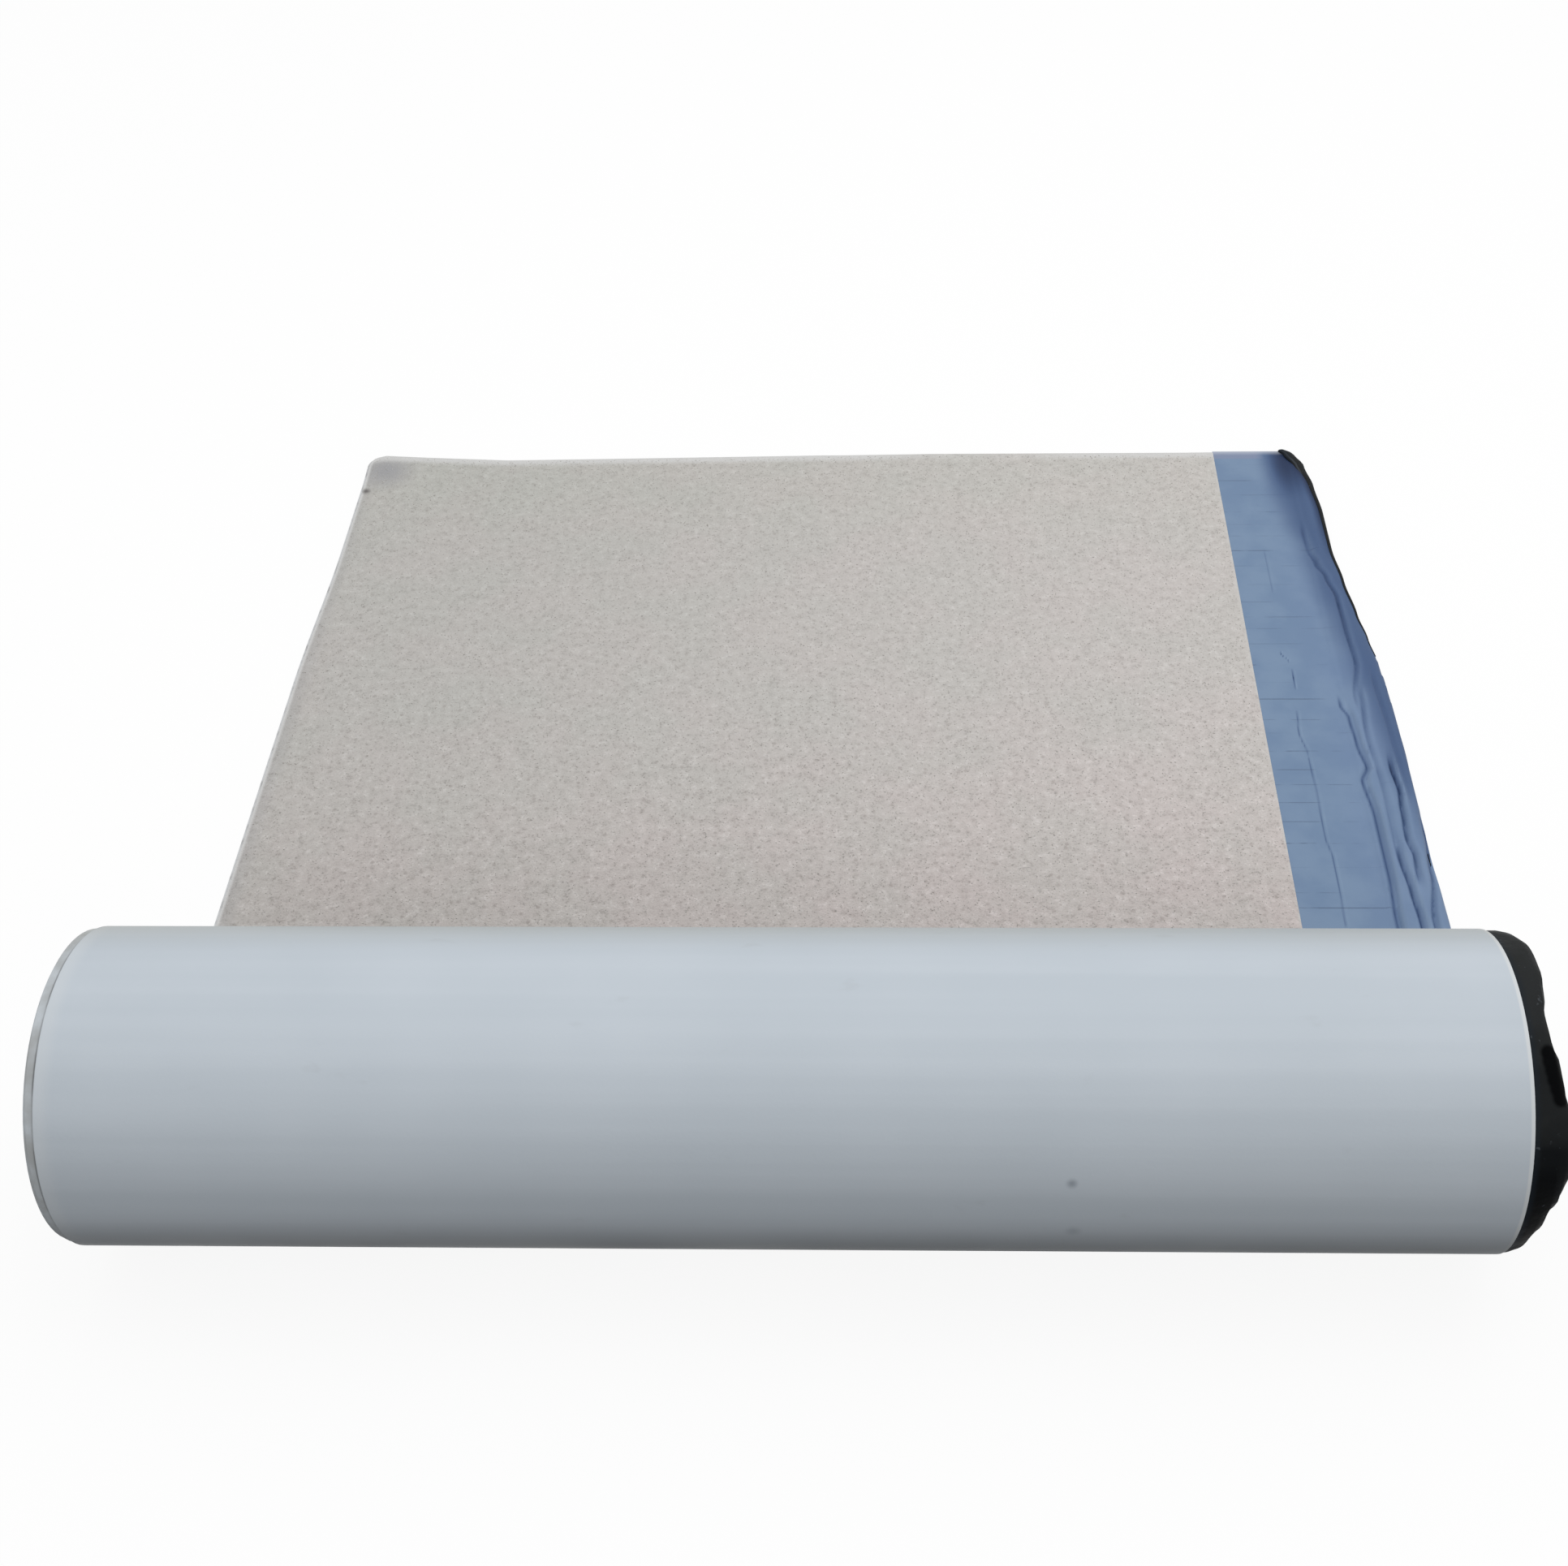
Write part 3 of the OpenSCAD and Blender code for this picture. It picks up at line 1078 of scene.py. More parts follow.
@dataclass
class SandGrains:
    """Coarser grains that stand out of the sand on the tail, scattered strip by strip.

    Attributes:
        stock: Sizes of the sheet.
        strips: Pieces that the tail is shared into.
        density: Grains to the square metre.
        smallest: Smallest grain, as its half-width.
        largest: Largest grain, as its half-width.
        margin: Bare margin along the facing's edges.
    """

    stock: Stock
    strips: int = 3
    density: float = 63000.0
    smallest: float = 0.35 * MM
    largest: float = 0.85 * MM
    margin: float = 3 * MM

    def build(self, finish: bpy.types.Material) -> None:
        """Scatters the grains, as one piece for each strip.

        Args:
            finish: Material of the grains.
        """
        shapes = self.grain_shapes()
        left = self.margin + self.stock.recess - self.stock.half_width
        right = self.stock.lap_line - self.margin
        step = (right - left) / self.strips
        for strip in range(self.strips):
            low = (left + strip * step, self.margin)
            high = (left + (strip + 1) * step, self.stock.tail - self.margin)
            piece = Modeller.grid(f"sand_grains_{strip + 1}", low, high, self.stock.pitch,
                                  columns=16, rows=48)
            for vertex in piece.data.vertices:
                vertex.co = self.stock.lay(vertex.co)
            modifier = piece.modifiers.new("scatter", "NODES")
            modifier.node_group = self.scatter(shapes, finish, strip)
            bpy.ops.object.modifier_apply(modifier=modifier.name)
            Modeller.seat(piece, Node.MEMBRANE)
        for shape in list(shapes.objects):
            bpy.data.objects.remove(shape)
        bpy.data.collections.remove(shapes)

    def grain_shapes(self, kinds: int = 4) -> bpy.types.Collection:
        """Models a few crushed grains, each a low double pyramid knocked out of shape.

        Args:
            kinds: How many shapes there are.

        Returns:
            A collection that holds them.
        """
        shapes = bpy.data.collections.new("grain_shapes")
        bpy.context.scene.collection.children.link(shapes)
        for kind in range(kinds):
            Modeller.clear_selection()
            bpy.ops.mesh.primitive_cone_add(vertices=4, radius1=1.0, radius2=0.0, depth=0.8,
                                            end_fill_type="NOTHING", location=(0, 0, 0.4))
            grain = bpy.context.object
            bpy.ops.object.transform_apply(location=True, rotation=True, scale=True)
            bpy.ops.object.mode_set(mode="EDIT")
            Modeller.select_vertices(grain, lambda co: co.z < 0.1)
            bpy.ops.mesh.extrude_region_move(TRANSFORM_OT_translate={"value": (0, 0, -0.7)})
            bpy.ops.mesh.merge(type="CENTER")
            bpy.ops.mesh.select_all(action="SELECT")
            bpy.ops.transform.vertex_random(offset=0.55, seed=kind)
            bpy.ops.mesh.normals_make_consistent(inside=False)
            bpy.ops.object.mode_set(mode="OBJECT")
            for collection in grain.users_collection:
                collection.objects.unlink(grain)
            shapes.objects.link(grain)
        return shapes

    def scatter(self, shapes: bpy.types.Collection, finish: bpy.types.Material,
                seed: int) -> bpy.types.NodeTree:
        """Builds the nodes that scatter the grains over a face.

        Args:
            shapes: The grains to pick from.
            finish: Material of the grains.
            seed: Seed of the scatter.

        Returns:
            The node group.
        """
        group = bpy.data.node_groups.new("scatter_grains", "GeometryNodeTree")
        for direction in ("INPUT", "OUTPUT"):
            group.interface.new_socket(name="Geometry", in_out=direction, socket_type="NodeSocketGeometry")

        def add(kind: str, settings: dict[str, Any], inputs: dict[str, Any]) -> Any:
            """Adds a node.

            Args:
                kind: The node's type.
                settings: Values of its own options.
                inputs: Values or sockets for its inputs, by name.

            Returns:
                The new node.
            """
            node = group.nodes.new(kind)
            for key, value in settings.items():
                setattr(node, key, value)
            for key, value in inputs.items():
                socket = next(item for item in node.inputs if item.name == key and item.enabled)
                if isinstance(value, bpy.types.NodeSocket):
                    group.links.new(value, socket)
                else:
                    socket.default_value = value
            return node

        def chance(kind: str, low: Any, high: Any, number: int) -> Socket:
            """Adds a random value.

            Args:
                kind: What is drawn, a number or a vector.
                low: Its lower limit.
                high: Its upper limit.
                number: Seed of the draw.

            Returns:
                The value.
            """
            inputs = {"Min": low, "Max": high, "Seed": number}
            node = add("FunctionNodeRandomValue", {"data_type": kind}, inputs)
            return next(item for item in node.outputs if item.enabled)

        face = add("NodeGroupInput", {}, {}).outputs[0]
        points = add("GeometryNodeDistributePointsOnFaces", {}, {
            "Mesh": face, "Density": self.density, "Seed": seed})
        kinds = add("GeometryNodeCollectionInfo", {}, {"Collection": shapes, "Separate Children": True})
        turn = chance("FLOAT_VECTOR", (0.0, 0.0, 0.0), (math.pi, math.pi, math.tau), seed + 11)
        size = chance("FLOAT", self.smallest, self.largest, seed + 22)
        tone = chance("FLOAT", 0.0, 1.0, seed + 33)
        placed = add("GeometryNodeInstanceOnPoints", {}, {
            "Points": points.outputs["Points"], "Instance": kinds.outputs[0], "Pick Instance": True,
            "Rotation": turn, "Scale": size})
        toned = add("GeometryNodeStoreNamedAttribute", {"data_type": "FLOAT", "domain": "INSTANCE"}, {
            "Geometry": placed.outputs[0], "Name": GrainFinish.attribute, "Value": tone})
        whole = add("GeometryNodeRealizeInstances", {}, {"Geometry": toned.outputs[0]})
        dressed = add("GeometryNodeSetMaterial", {}, {"Geometry": whole.outputs[0], "Material": finish})
        add("NodeGroupOutput", {}, {"Geometry": dressed.outputs[0]})
        return group


@dataclass(frozen=True)
class Groove:
    """A narrow valley or crease that runs along the film.

    Attributes:
        line: X of the groove along Y.
        depth: How deep it is.
        width: How far it reaches to each side.
        shade: How much it darkens the film.
        fade: Length over which it dies out at its ends.
    """

    line: Profile
    depth: float
    width: float
    shade: float = 0.5
    fade: float = 30 * MM

    def at(self, across: float, along: float) -> float:
        """Reads the groove, which is steeper on its left.

        Args:
            across: X on the film.
            along: Y on the film.

        Returns:
            How much of the groove there is at this place, from 0 to 1.
        """
        start, end = self.line.points[0][0], self.line.points[-1][0]
        held = smooth(start - self.fade, start, along) * smooth(end + self.fade, end, along)
        if held == 0.0:
            return 0.0
        past = across - self.line.at(along)
        return held * max(0.0, 1.0 - abs(past) / (self.width if past > 0 else 0.6 * self.width))

    def tone(self, across: float, along: float) -> float:
        """Reads its shade.

        Args:
            across: X on the film.
            along: Y on the film.

        Returns:
            The shade, above 0 in its bottom and below 0 on the lit flank to the right of it.
        """
        bottom = self.at(across + 0.1 * self.width, along) ** 2
        flank = self.at(across - 0.8 * self.width, along) ** 2
        return self.shade * (bottom - 0.6 * flank)


@dataclass
class LapFilm:
    """The film on the tail's lap, loose and wrinkled beyond the carrier, with its far right corner rolled up.

    Attributes:
        stock: Sizes of the sheet.
        columns: Quads across the film.
        rows: Quads along it.
        clearance: Room under the film where it lies on the floor.
        outline: X of the film's right edge along Y. Film that is wider than this is tucked under.
        swell: Height at which the loose film stands, along Y.
        nose: Length over which the loose film falls to its right edge, along Y.
        slope: X from which the film falls away from the light, along Y.
        scroll: Radius of the rolled-up corner, along Y.
        valleys: Valleys of the loose film.
        creases: Thin creases on the lap.
    """

    stock: Stock
    columns: int = 90
    rows: int = 320
    clearance: float = 0.1 * MM
    outline: Profile = mm_profile(
        (0, 548), (120, 548), (250, 546.5), (320, 545), (380, 545.5), (450, 546.5), (535, 545), (570, 542.5),
        (605, 538.5), (640, 534), (690, 529), (740, 524.5), (800, 524.5), (845, 521.5), (880, 516.5),
        (900, 509), (910, 500))
    swell: Profile = mm_profile((0, 0), (60, 5), (330, 5.5), (450, 4.5), (600, 4), (760, 5), (910, 7))
    nose: Profile = mm_profile((0, 9), (500, 12), (700, 16), (910, 20))
    slope: Profile = mm_profile(
        (300, 520), (374, 512), (435, 504), (500, 499), (566, 491), (625, 483), (690, 476), (740, 472),
        (790, 461), (832, 457), (910, 457))
    scroll: Profile = mm_profile(
        (580, 0.8), (680, 1.7), (760, 2.1), (820, 2.5), (860, 3.0), (885, 3.6), (899, 3.6), (909, 2.4))
    valleys: tuple[Groove, ...] = (
        Groove(mm_profile((30, 504), (245, 502), (300, 505), (370, 505), (412, 501), (430, 508), (460, 504),
                          (495, 502), (510, 497)), 5.5 * MM, 6 * MM, 0.75),
        Groove(mm_profile((60, 521), (245, 522), (280, 520), (318, 517)), 5 * MM, 6 * MM, 0.8),
        Groove(mm_profile((302, 529), (320, 530), (340, 527), (375, 529), (400, 531), (425, 529)),
               4.5 * MM, 5 * MM, 0.6),
        Groove(mm_profile((60, 538), (245, 533), (300, 541), (350, 545)), 4.5 * MM, 5 * MM, 0.5),
        Groove(mm_profile((345, 516), (400, 517), (470, 514), (520, 517)), 2.5 * MM, 5 * MM, 0.35),
        Groove(mm_profile((400, 538), (470, 536), (540, 533)), 2.4 * MM, 5 * MM, 0.05),
        Groove(mm_profile((520, 512), (570, 520), (620, 518), (664, 517), (695, 511), (717, 505), (740, 500),
                          (765, 499)), 2.5 * MM, 5 * MM, 0.22),
    )
    creases: tuple[Groove, ...] = (
        Groove(mm_profile((245, 459), (293, 460), (320, 460), (345, 457), (400, 458), (440, 457)),
               0.4 * MM, 3 * MM, 0.6, 10 * MM),
        Groove(mm_profile((448, 457), (475, 453), (502, 455)), 0.4 * MM, 3 * MM, 0.6, 6 * MM),
        Groove(mm_profile((536, 458), (559, 459)), 0.4 * MM, 2.2 * MM, 0.9, 6 * MM),
        Groove(mm_profile((573, 457), (585, 451)), 0.4 * MM, 2.2 * MM, 0.9, 4 * MM),
        Groove(mm_profile((680, 456), (735, 456)), 0.4 * MM, 2.6 * MM, 0.4, 15 * MM),
    )

    @property
    def grooves(self) -> tuple[Groove, ...]:
        """All valleys and creases."""
        return (*self.valleys, *self.creases)

    @property
    def floor_height(self) -> float:
        """Height of the film's face where it lies on the floor."""
        return self.stock.film + self.clearance

    def build(self, finishes: Sequence[bpy.types.Material]) -> None:
        """Models the film flat, then lays, folds and tucks it, and joins the rolled-up corner to it.

        Args:
            finishes: Materials for its face, its back and its cut edge.
        """
        left = self.stock.lap_line
        right = self.stock.half_width + self.stock.film_reach
        piece = Modeller.grid("lap_film_strip", (left, 0.0), (right, self.stock.tail), 0.0,
                              self.columns, self.rows)
        shades = Modeller.attribute(piece, BlueFilmFinish.attribute)
        for vertex in piece.data.vertices:
            flat = vertex.co.copy()
            vertex.co = self.laid(flat.x, flat.y)
            shades.data[vertex.index].value = self.shade(flat.x, flat.y)
        Modeller.face_outwards(piece, lambda centre: centre.x < self.stock.half_width, Vector((0, 0, 1)))
        Modeller.dress(piece, finishes)
        Modeller.thicken(piece, self.stock.film)
        corner = self.build_scroll(finishes)
        piece.select_set(True)
        corner.select_set(True)
        bpy.context.view_layer.objects.active = piece
        bpy.ops.object.join()
        bpy.ops.object.shade_smooth_by_angle(angle=math.radians(60))
        Modeller.seat(piece, Node.LAP_FILM)

    def build_scroll(self, finishes: Sequence[bpy.types.Material]) -> bpy.types.Object:
        """Models the rolled-up far corner, whose back shows.

        Args:
            finishes: Materials for the film's face, its back and its cut edge.

        Returns:
            The corner, to be joined to the film.
        """
        turns = 1.35
        start, end = self.scroll.points[0][0], self.scroll.points[-1][0]
        piece = Modeller.grid("lap_film_corner", (0.0, start), (1.0, end), 0.0, columns=36, rows=60)
        # Painted highlight: the scroll's back carries dust, and a paler glint along its inner side near the
        # corner.
        dust, glint, glint_angle = 0.62, 0.33, math.radians(215)
        wears = Modeller.attribute(piece, BlackFilmFinish.attribute)
        for vertex in piece.data.vertices:
            angle = vertex.co.x * turns * math.tau
            lit = smooth(0.7, 0.1, abs(angle - glint_angle)) * smooth(845 * MM, 870 * MM, vertex.co.y)
            wears.data[vertex.index].value = dust + glint * lit
            radius = self.scroll.at(vertex.co.y)
            tight = radius * (1 - 0.05 * angle)
            flat = 1.0 + 0.8 * smooth(820 * MM, 890 * MM, vertex.co.y)
            vertex.co.x = self.outline.at(vertex.co.y) - flat * (radius - tight * math.sin(angle))
            vertex.co.z = self.floor_height + radius - tight * math.cos(angle)
        Modeller.face_outwards(piece, lambda centre: centre.z < 1 * MM, Vector((0, 0, 1)))
        Modeller.dress(piece, finishes)
        Modeller.thicken(piece, 0.5 * self.stock.film)
        return piece

    def top(self, across: float, along: float) -> float:
        """Finds the height of the film's face.

        Args:
            across: X on the film, not past its outline.
            along: Y on the film.

        Returns:
            The height, on the carrier or on the swelling beyond it.
        """
        stock = self.stock
        past = across - stock.half_width
        drop = smooth(0.0, 4 * MM, past) * smooth(0.0, 60 * MM, along)
        height = self.floor_height + stock.carrier * (1 - drop)
        height += self.swell.at(along) * smooth(-6 * MM, 12 * MM, past)
        fall = 1 - (self.outline.at(along) - across) / self.nose.at(along)
        if fall > 0:
            height *= math.sqrt(max(0.0, 1 - 0.97 * fall * fall))
        for groove in self.grooves:
            height -= groove.depth * groove.at(across, along)
        lowest = self.floor_height + stock.carrier * (1 - smooth(1.5 * MM, 6 * MM, past))
        return max(lowest, height)

    def laid(self, across: float, along: float) -> Vector:
        """Finds where a point of the flat film lies.

        Args:
            across: X on the flat film.
            along: Y on the flat film.

        Returns:
            Its place on the lap, on the swelling, or tucked under it.
        """
        edge = self.outline.at(along)
        if across <= edge:
            return Vector((across, along, self.top(across, along)))
        return Vector((edge - (across - edge), along, self.clearance))

    def shade(self, across: float, along: float) -> float:
        """Finds how the film is shaded by its creases, its valleys and the dip at its far corner.

        Args:
            across: X on the flat film.
            along: Y on the flat film.

        Returns:
            A share from 0, clean, to 1, dark, or down to -1 where the film catches the light.
        """
        tones = [groove.tone(across, along) for groove in self.grooves]
        strength = (0.6 + 0.32 * smooth(815 * MM, 890 * MM, along)) * smooth(200 * MM, 440 * MM, along)
        fall = strength * smooth(0.0, 40 * MM, across - self.slope.at(along))
        beside = smooth(13 * MM, 3 * MM, self.outline.at(along) - across)
        fall += 0.32 * beside * smooth(700 * MM, 820 * MM, along)
        return max(-1.0, min(1.0, fall + max(0.0, *tones) + min(0.0, *tones)))


@dataclass
class FilmSleeve:
    """The film's free margin on the wound turns, a sleeve of nested skirts that fold in over the end.

    Attributes:
        stock: Sizes of the sheet.
        winding: The spiral.
        root: Width of film that stays bonded inside the carrier's edge.
        segments: Quads across the margin.
        steps: Steps in each half-turn.
        stand: How far the outer skirt stands out before it folds in, by the angle in degrees up from the
            front.
        bend: Radius at which a skirt folds in.
        pleat: Depth of the pleats that take up the film where it folds in.
        tone: How much dust the skirts carry by that angle, below 0 how dark they are painted where they lie
            in shade.
    """

    stock: Stock
    winding: Winding
    root: float = 6 * MM
    segments: int = 10
    steps: int = 56
    stand: Profile = Profile((
        (-90, 13 * MM), (-60, 12 * MM), (-30, 12 * MM), (-12, 13.5 * MM), (4, 18 * MM), (16, 24 * MM),
        (26, 28 * MM), (40, 28 * MM), (53, 22.5 * MM), (62, 20.5 * MM), (70, 17 * MM), (80, 15.5 * MM),
        (90, 18.5 * MM), (100, 21.5 * MM), (115, 23 * MM), (135, 19 * MM), (160, 15 * MM), (190, 20 * MM),
        (215, 24 * MM), (240, 17 * MM), (270, 13 * MM)))
    bend: float = 7 * MM
    pleat: float = 1.6 * MM
    tone: Profile = Profile((
        (-90, -0.6), (-12, -0.9), (22, -0.7), (31, -0.1), (37, 0.3), (49, 0.34), (64, 0.24), (72, 0.4),
        (80, 0.58), (112, 0.62), (150, 0.1), (200, 0.0), (240, -0.2), (270, -0.6)))

    def build(self, finishes: Sequence[bpy.types.Material]) -> None:
        """Models one skirt's section, winds it up and folds it in.

        Args:
            finishes: Materials for the film's back, its face and its cut edge.
        """
        start = self.stock.half_width - self.root
        end = self.stock.half_width + self.stock.film_reach
        inset = self.stock.carrier
        piece = Modeller.grid("lap_film_sleeve", (start, 0.0), (end, 1 * MM), inset, self.segments, 1)
        bpy.ops.object.mode_set(mode="EDIT")
        Modeller.select_vertices(piece, lambda co: co.y < ON_LINE)
        self.winding.wind_up(piece, self.steps)
        wears = Modeller.attribute(piece, BlackFilmFinish.attribute)
        for vertex in piece.data.vertices:
            turn = self.winding.turn_at(vertex.co, inset)
            if turn is not None:
                wears.data[vertex.index].value = self.wear_and_painted_light(vertex.co.x - self.stock.half_width, turn)
                vertex.co = self.folded(vertex.co, turn)
        near_top = 0.95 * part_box(Node.LAP_FILM.value)[1].z
        Modeller.face_outwards(piece, lambda centre: centre.z > near_top, Vector((0, 0, 1)))
        Modeller.dress(piece, finishes)
        Modeller.thicken(piece, 0.5 * self.stock.film)
        bpy.ops.object.shade_smooth_by_angle(angle=math.radians(60))
        Modeller.seat(piece, Node.LAP_FILM)

    def section(self, reach: float, stand: float, room: float) -> tuple[float, float]:
        """Finds where a point of a skirt's section lies.

        Args:
            reach: Distance along the film past the carrier's edge.
            stand: How far this skirt stands out.
            room: How far it may reach in towards the bore.

        Returns:
            How far out along the roll the point is, and how far in towards the axis.
        """
        bend = min(self.bend, 0.8 * stand)
        straight = stand - bend
        quarter = bend * math.pi / 2
        most = bend + max(0.0, self.stock.film_reach - straight - quarter)
        squeeze = min(1.0, room / most)
        if reach <= straight:
            return reach, 0.0
        if reach <= straight + quarter:
            angle = (reach - straight) / bend
            return straight + bend * math.sin(angle), squeeze * bend * (1 - math.cos(angle))
        return stand, squeeze * (bend + reach - straight - quarter)

    def folded(self, place: Vector, turn: float) -> Vector:
        """Folds a point of the straight margin in over the roll's end.

        Args:
            place: Its place on the straight skirt.
            turn: Turns from the tail.

        Returns:
            Its place on the folded skirt.
        """
        drift = self.winding.drift(turn)
        reach = place.x - self.stock.half_width
        if reach <= 0:
            innermost = turn > self.winding.turns - 1.02
            root = self.stock.lap_line if innermost else place.x
            return self.winding.settle(Vector((root - drift, place.y, place.z)))
        radial = Vector((0.0, place.y, place.z - self.winding.radius))
        distance = radial.length
        bore = self.winding.radius - self.winding.turns * self.winding.pitch
        degrees = self.degrees(turn)
        stand = self.stand.at(degrees) * (1 - 0.5 * turn / self.winding.turns)
        out, inwards = self.section(reach, stand, max(0.0, distance - bore - 1 * MM))
        held = smooth(0.0, 0.14, turn)
        inwards *= held
        spin = math.radians(degrees)
        pleats = math.sin(9 * spin + 1.0) + 0.8 * math.sin(14 * spin + 2.1) + 0.6 * math.sin(19 * spin + 0.5)
        out += self.pleat * pleats * smooth(105 * MM, 85 * MM, distance - inwards)
        out = reach + (out - reach) * held
        shrunk = radial * ((distance - inwards) / distance)
        drift *= 1 - smooth(0.0, 10 * MM, reach) * held
        placed = Vector((self.stock.half_width - drift + out, shrunk.y, self.winding.radius + shrunk.z))
        return self.winding.settle(placed)

    @staticmethod
    def degrees(turn: float) -> float:
        """Angle up from the front, in degrees, of a place on the spiral."""
        return (turn % 1.0) * 360.0 - 90.0

    def wear_and_painted_light(self, reach: float, turn: float) -> float:
        """Finds how worn a place on a skirt is, and how dark it is painted as shade.

        Args:
            reach: Distance along the film past the carrier's edge.
            turn: Turns from the tail.

        Returns:
            A share from 0 to 1, at the free edge, or down to -1 low at the front, where no light comes.
        """
        share = reach / self.stock.film_reach
        worn = max(0.6 * smooth(0.4, 0.8, share), smooth(0.9, 1.0, share))
        tone = self.tone.at(self.degrees(turn))
        return max(worn, tone) if worn > 0 else tone


@dataclass(frozen=True)
class View:
    """The camera's place, turn and framing.

    Attributes:
        place: Where it stands.
        yaw: Turn to the right of +Y.
        pitch: Tilt down from level.
        roll: Turn about its own axis.
        lens: Focal length in millimetres on a 36 mm frame.
        shift: Sideways and upward shift of the frame.
    """

    place: Place = (0.0888, -0.8326, 1.2847)
    yaw: float = -0.0363
    pitch: float = 0.7645
    roll: float = -0.026
    lens: float = 45.22
    shift: Point = (-0.0443, -0.0460)

    def matrix(self) -> Matrix:
        """Finds the camera's place and axes.

        Returns:
            Both as one matrix.
        """
        ahead = Vector((math.sin(self.yaw) * math.cos(self.pitch), math.cos(self.yaw) * math.cos(self.pitch),
                        -math.sin(self.pitch)))
        level = Vector((math.cos(self.yaw), -math.sin(self.yaw), 0.0))
        upright = level.cross(ahead)
        right = level * math.cos(self.roll) + upright * math.sin(self.roll)
        up = upright * math.cos(self.roll) - level * math.sin(self.roll)
        return Matrix.Translation(self.place) @ Matrix((right, up, -ahead)).transposed().to_4x4()


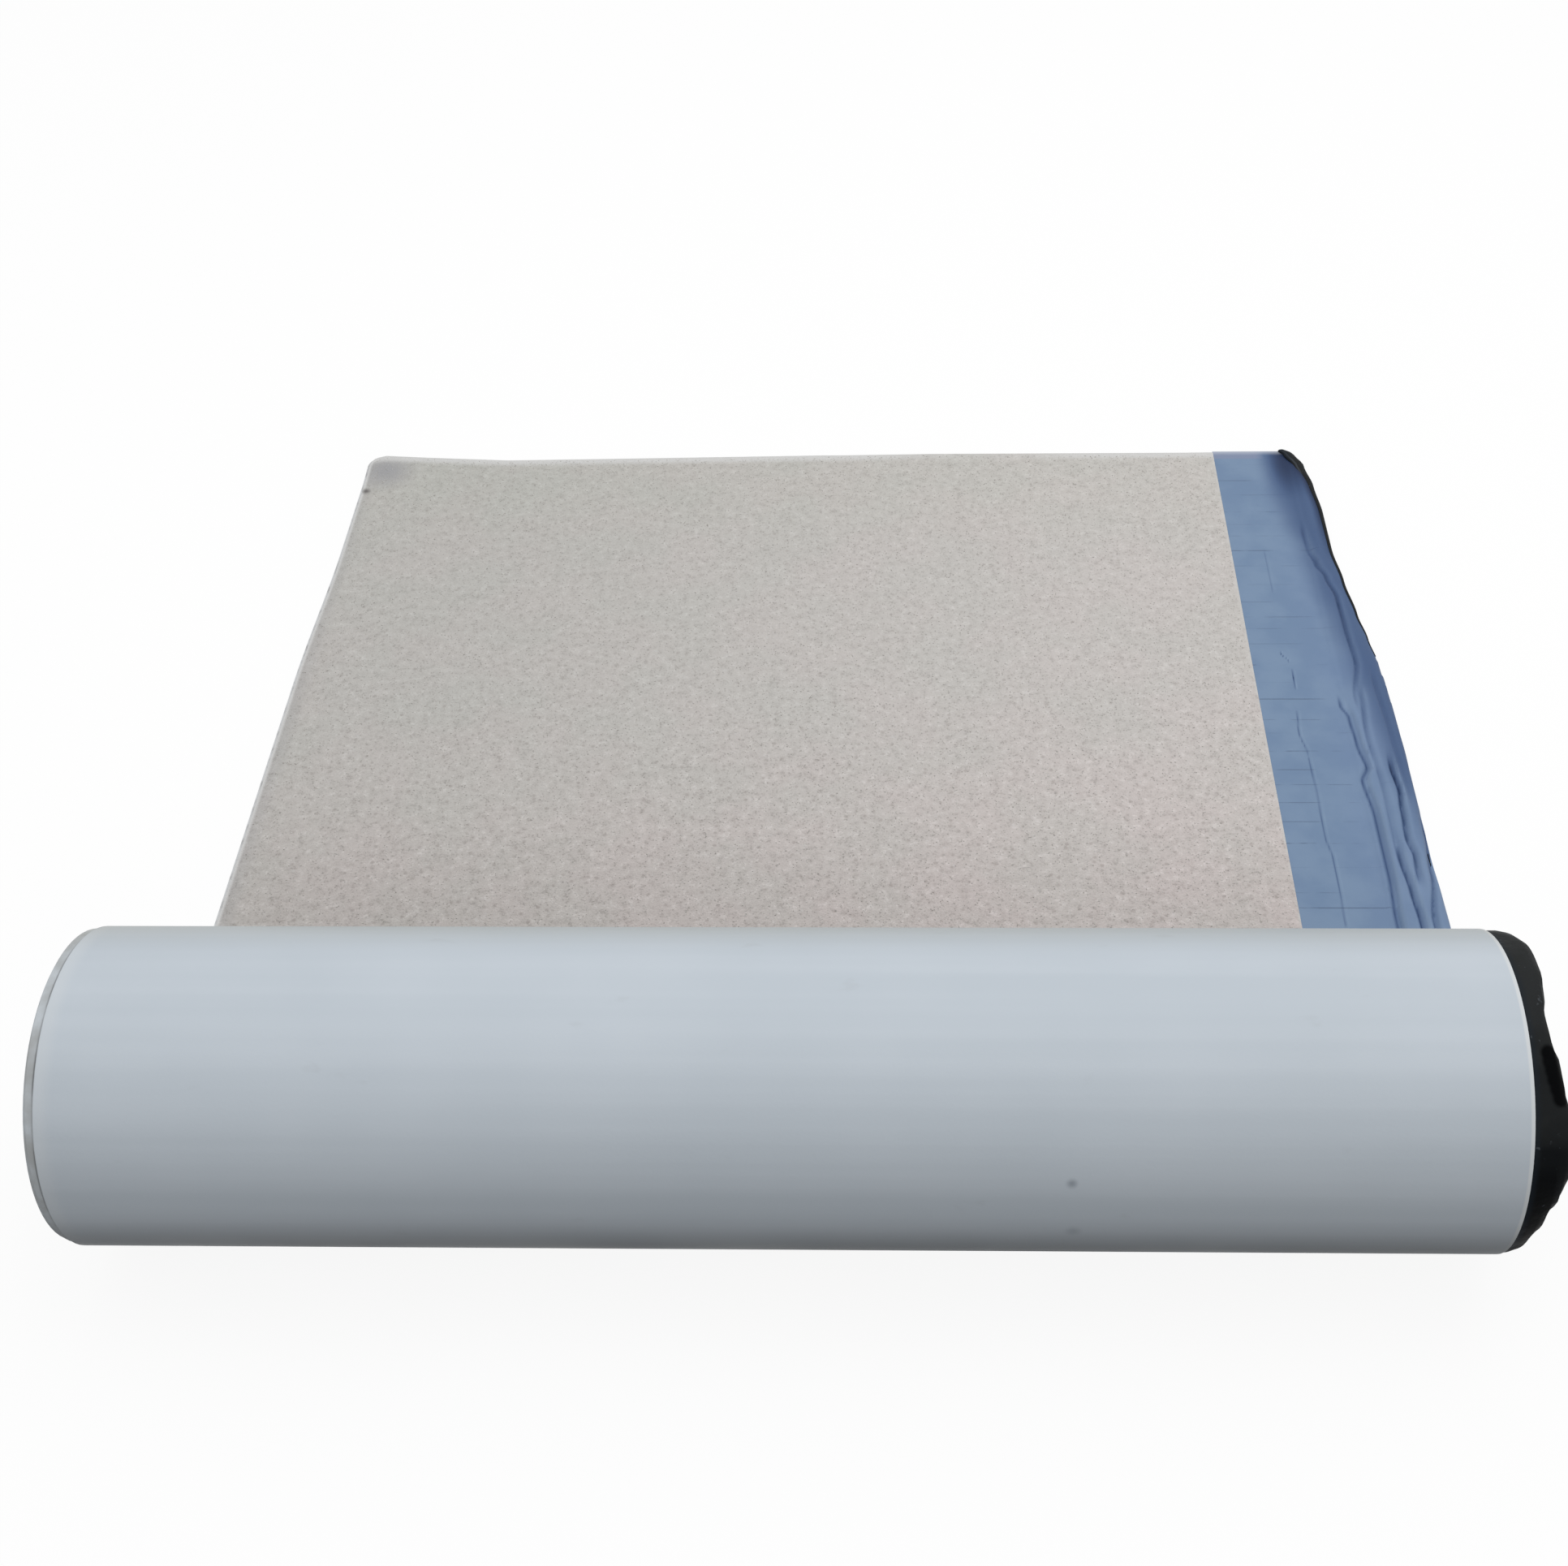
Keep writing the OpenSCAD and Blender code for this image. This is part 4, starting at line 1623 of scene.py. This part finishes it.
@dataclass
class Studio:
    """A pale floor, an even sky, one broad soft lamp and the camera.

    Attributes:
        view: The camera's view.
        sky: Strength of the even light from all sides.
        lamp_power: Power of the lamp in watts.
        lamp_place: Where the lamp hangs.
        lamp_size: Side of the lamp.
        floor_size: Side of the floor.
        floor_shade: Share of the floor's white that shadows can darken.
        floor_bounce: How much light the floor gives back to the object.
    """

    view: View = field(default_factory=View)
    sky: float = 0.7
    lamp_power: float = 33.0
    lamp_place: Place = (0.5, 0.75, 3.2)
    lamp_size: float = 2.4
    floor_size: float = 14.0
    floor_shade: float = 0.10
    floor_bounce: float = 0.02

    def build(self) -> None:
        """Sets up the whole studio."""
        self.lay_floor()
        self.light_sky()
        self.hang_lamp()
        self.place_camera()
        bpy.context.scene.view_settings.view_transform = "Standard"

    @staticmethod
    def seen_directly(nodes: Any, links: Any) -> Socket:
        """Adds the test for rays that show the background itself.

        Args:
            nodes: Nodes of the tree that it goes in.
            links: Links of that tree.

        Returns:
            1 for camera, glossy and transmitted rays, and 0 for the light on the object.
        """
        path = nodes.new("ShaderNodeLightPath")
        total = path.outputs["Is Camera Ray"]
        for name in ("Is Glossy Ray", "Is Transmission Ray"):
            either = nodes.new("ShaderNodeMath")
            either.operation = "MAXIMUM"
            links.new(total, either.inputs[0])
            links.new(path.outputs[name], either.inputs[1])
            total = either.outputs[0]
        return total

    def lay_floor(self) -> None:
        """Adds the floor, white to the eye but dull to the light that it gives back."""
        Modeller.clear_selection()
        bpy.ops.mesh.primitive_plane_add(size=self.floor_size, location=(0, 0, -0.4 * MM))
        floor = bpy.context.object
        floor.name = "studio_floor"
        bpy.ops.object.transform_apply(location=True, rotation=True, scale=True)
        material = bpy.data.materials.new("studio_floor")
        material.use_nodes = True
        nodes, links = material.node_tree.nodes, material.node_tree.links
        nodes.remove(nodes["Principled BSDF"])
        glow = nodes.new("ShaderNodeEmission")
        glow.inputs["Strength"].default_value = 1.0 - self.floor_shade
        shaded = nodes.new("ShaderNodeBsdfDiffuse")
        shaded.inputs["Color"].default_value = (self.floor_shade,) * 3 + (1.0,)
        seen = nodes.new("ShaderNodeAddShader")
        links.new(glow.outputs[0], seen.inputs[0])
        links.new(shaded.outputs[0], seen.inputs[1])
        dull = nodes.new("ShaderNodeBsdfDiffuse")
        dull.inputs["Color"].default_value = (self.floor_bounce,) * 3 + (1.0,)
        choice = nodes.new("ShaderNodeMixShader")
        links.new(self.seen_directly(nodes, links), choice.inputs[0])
        links.new(dull.outputs[0], choice.inputs[1])
        links.new(seen.outputs[0], choice.inputs[2])
        links.new(choice.outputs[0], nodes["Material Output"].inputs["Surface"])
        Modeller.dress(floor, [material])

    def light_sky(self) -> None:
        """Makes the world white to the eye and even in its light."""
        world = bpy.data.worlds.new("studio_sky")
        bpy.context.scene.world = world
        world.use_nodes = True
        nodes, links = world.node_tree.nodes, world.node_tree.links
        background = nodes["Background"]
        background.inputs["Color"].default_value = (1.0, 1.0, 1.0, 1.0)
        strength = nodes.new("ShaderNodeMapRange")
        strength.inputs["To Min"].default_value = self.sky
        strength.inputs["To Max"].default_value = 1.0
        links.new(self.seen_directly(nodes, links), strength.inputs["Value"])
        links.new(strength.outputs["Result"], background.inputs["Strength"])

    def hang_lamp(self) -> None:
        """Hangs the soft lamp and turns it to the roll."""
        Modeller.clear_selection()
        bpy.ops.object.light_add(type="AREA", location=self.lamp_place)
        lamp = bpy.context.object
        lamp.name = "soft_lamp"
        lamp.data.size = self.lamp_size
        lamp.data.energy = self.lamp_power
        aim = Vector((0.0, 0.2, 0.0)) - Vector(self.lamp_place)
        lamp.rotation_euler = aim.to_track_quat("-Z", "Y").to_euler()

    def place_camera(self) -> None:
        """Places the camera at the photograph's angle."""
        Modeller.clear_selection()
        bpy.ops.object.camera_add()
        camera = bpy.context.object
        camera.matrix_world = self.view.matrix()
        camera.data.sensor_width = 36.0
        camera.data.lens = self.view.lens
        camera.data.shift_x, camera.data.shift_y = self.view.shift
        bpy.context.scene.camera = camera


@dataclass
class MembraneRoll:
    """The whole object, built layer by layer from the floor up.

    Attributes:
        stock: Sizes of the sheet.
        winding: The spiral that it is wound in.
    """

    stock: Stock
    winding: Winding

    def build(self) -> None:
        """Builds every piece in order."""
        stock, winding = self.stock, self.winding
        carrier = CarrierFinish().make(stock)
        margin = MarginFinish().make()
        cut_edge = CutEdgeFinish().make()
        adhesive = AdhesiveFinish().make()
        sand = SandFinish().make(stock)
        blue = BlueFilmFinish().make(stock)
        black = BlackFilmFinish().make(stock)
        left, right = -stock.half_width, stock.half_width
        sheet = WoundLayer("carrier_sheet", stock, winding, left, right, inset=0.0,
                           thickness=stock.carrier, columns=4)
        sheet.build([carrier, margin, cut_edge])
        facing = WoundLayer("sand_facing", stock, winding, left + stock.recess, stock.lap_line,
                            inset=stock.carrier, thickness=stock.facing, columns=3)
        facing.build([adhesive, sand, adhesive])
        SandGrains(stock).build(GrainFinish().make())
        LapFilm(stock).build([blue, black, black])
        FilmSleeve(stock, winding).build([black, blue, black])


def main() -> None:
    """Builds the roll and its studio."""
    logging.basicConfig(level=logging.INFO, format="%(name)s: %(message)s")
    stock = Stock.from_frame()
    MembraneRoll(stock, Winding(stock.roll_radius, stock.pitch)).build()
    Studio().build()


if __name__ == "__main__":
    main()
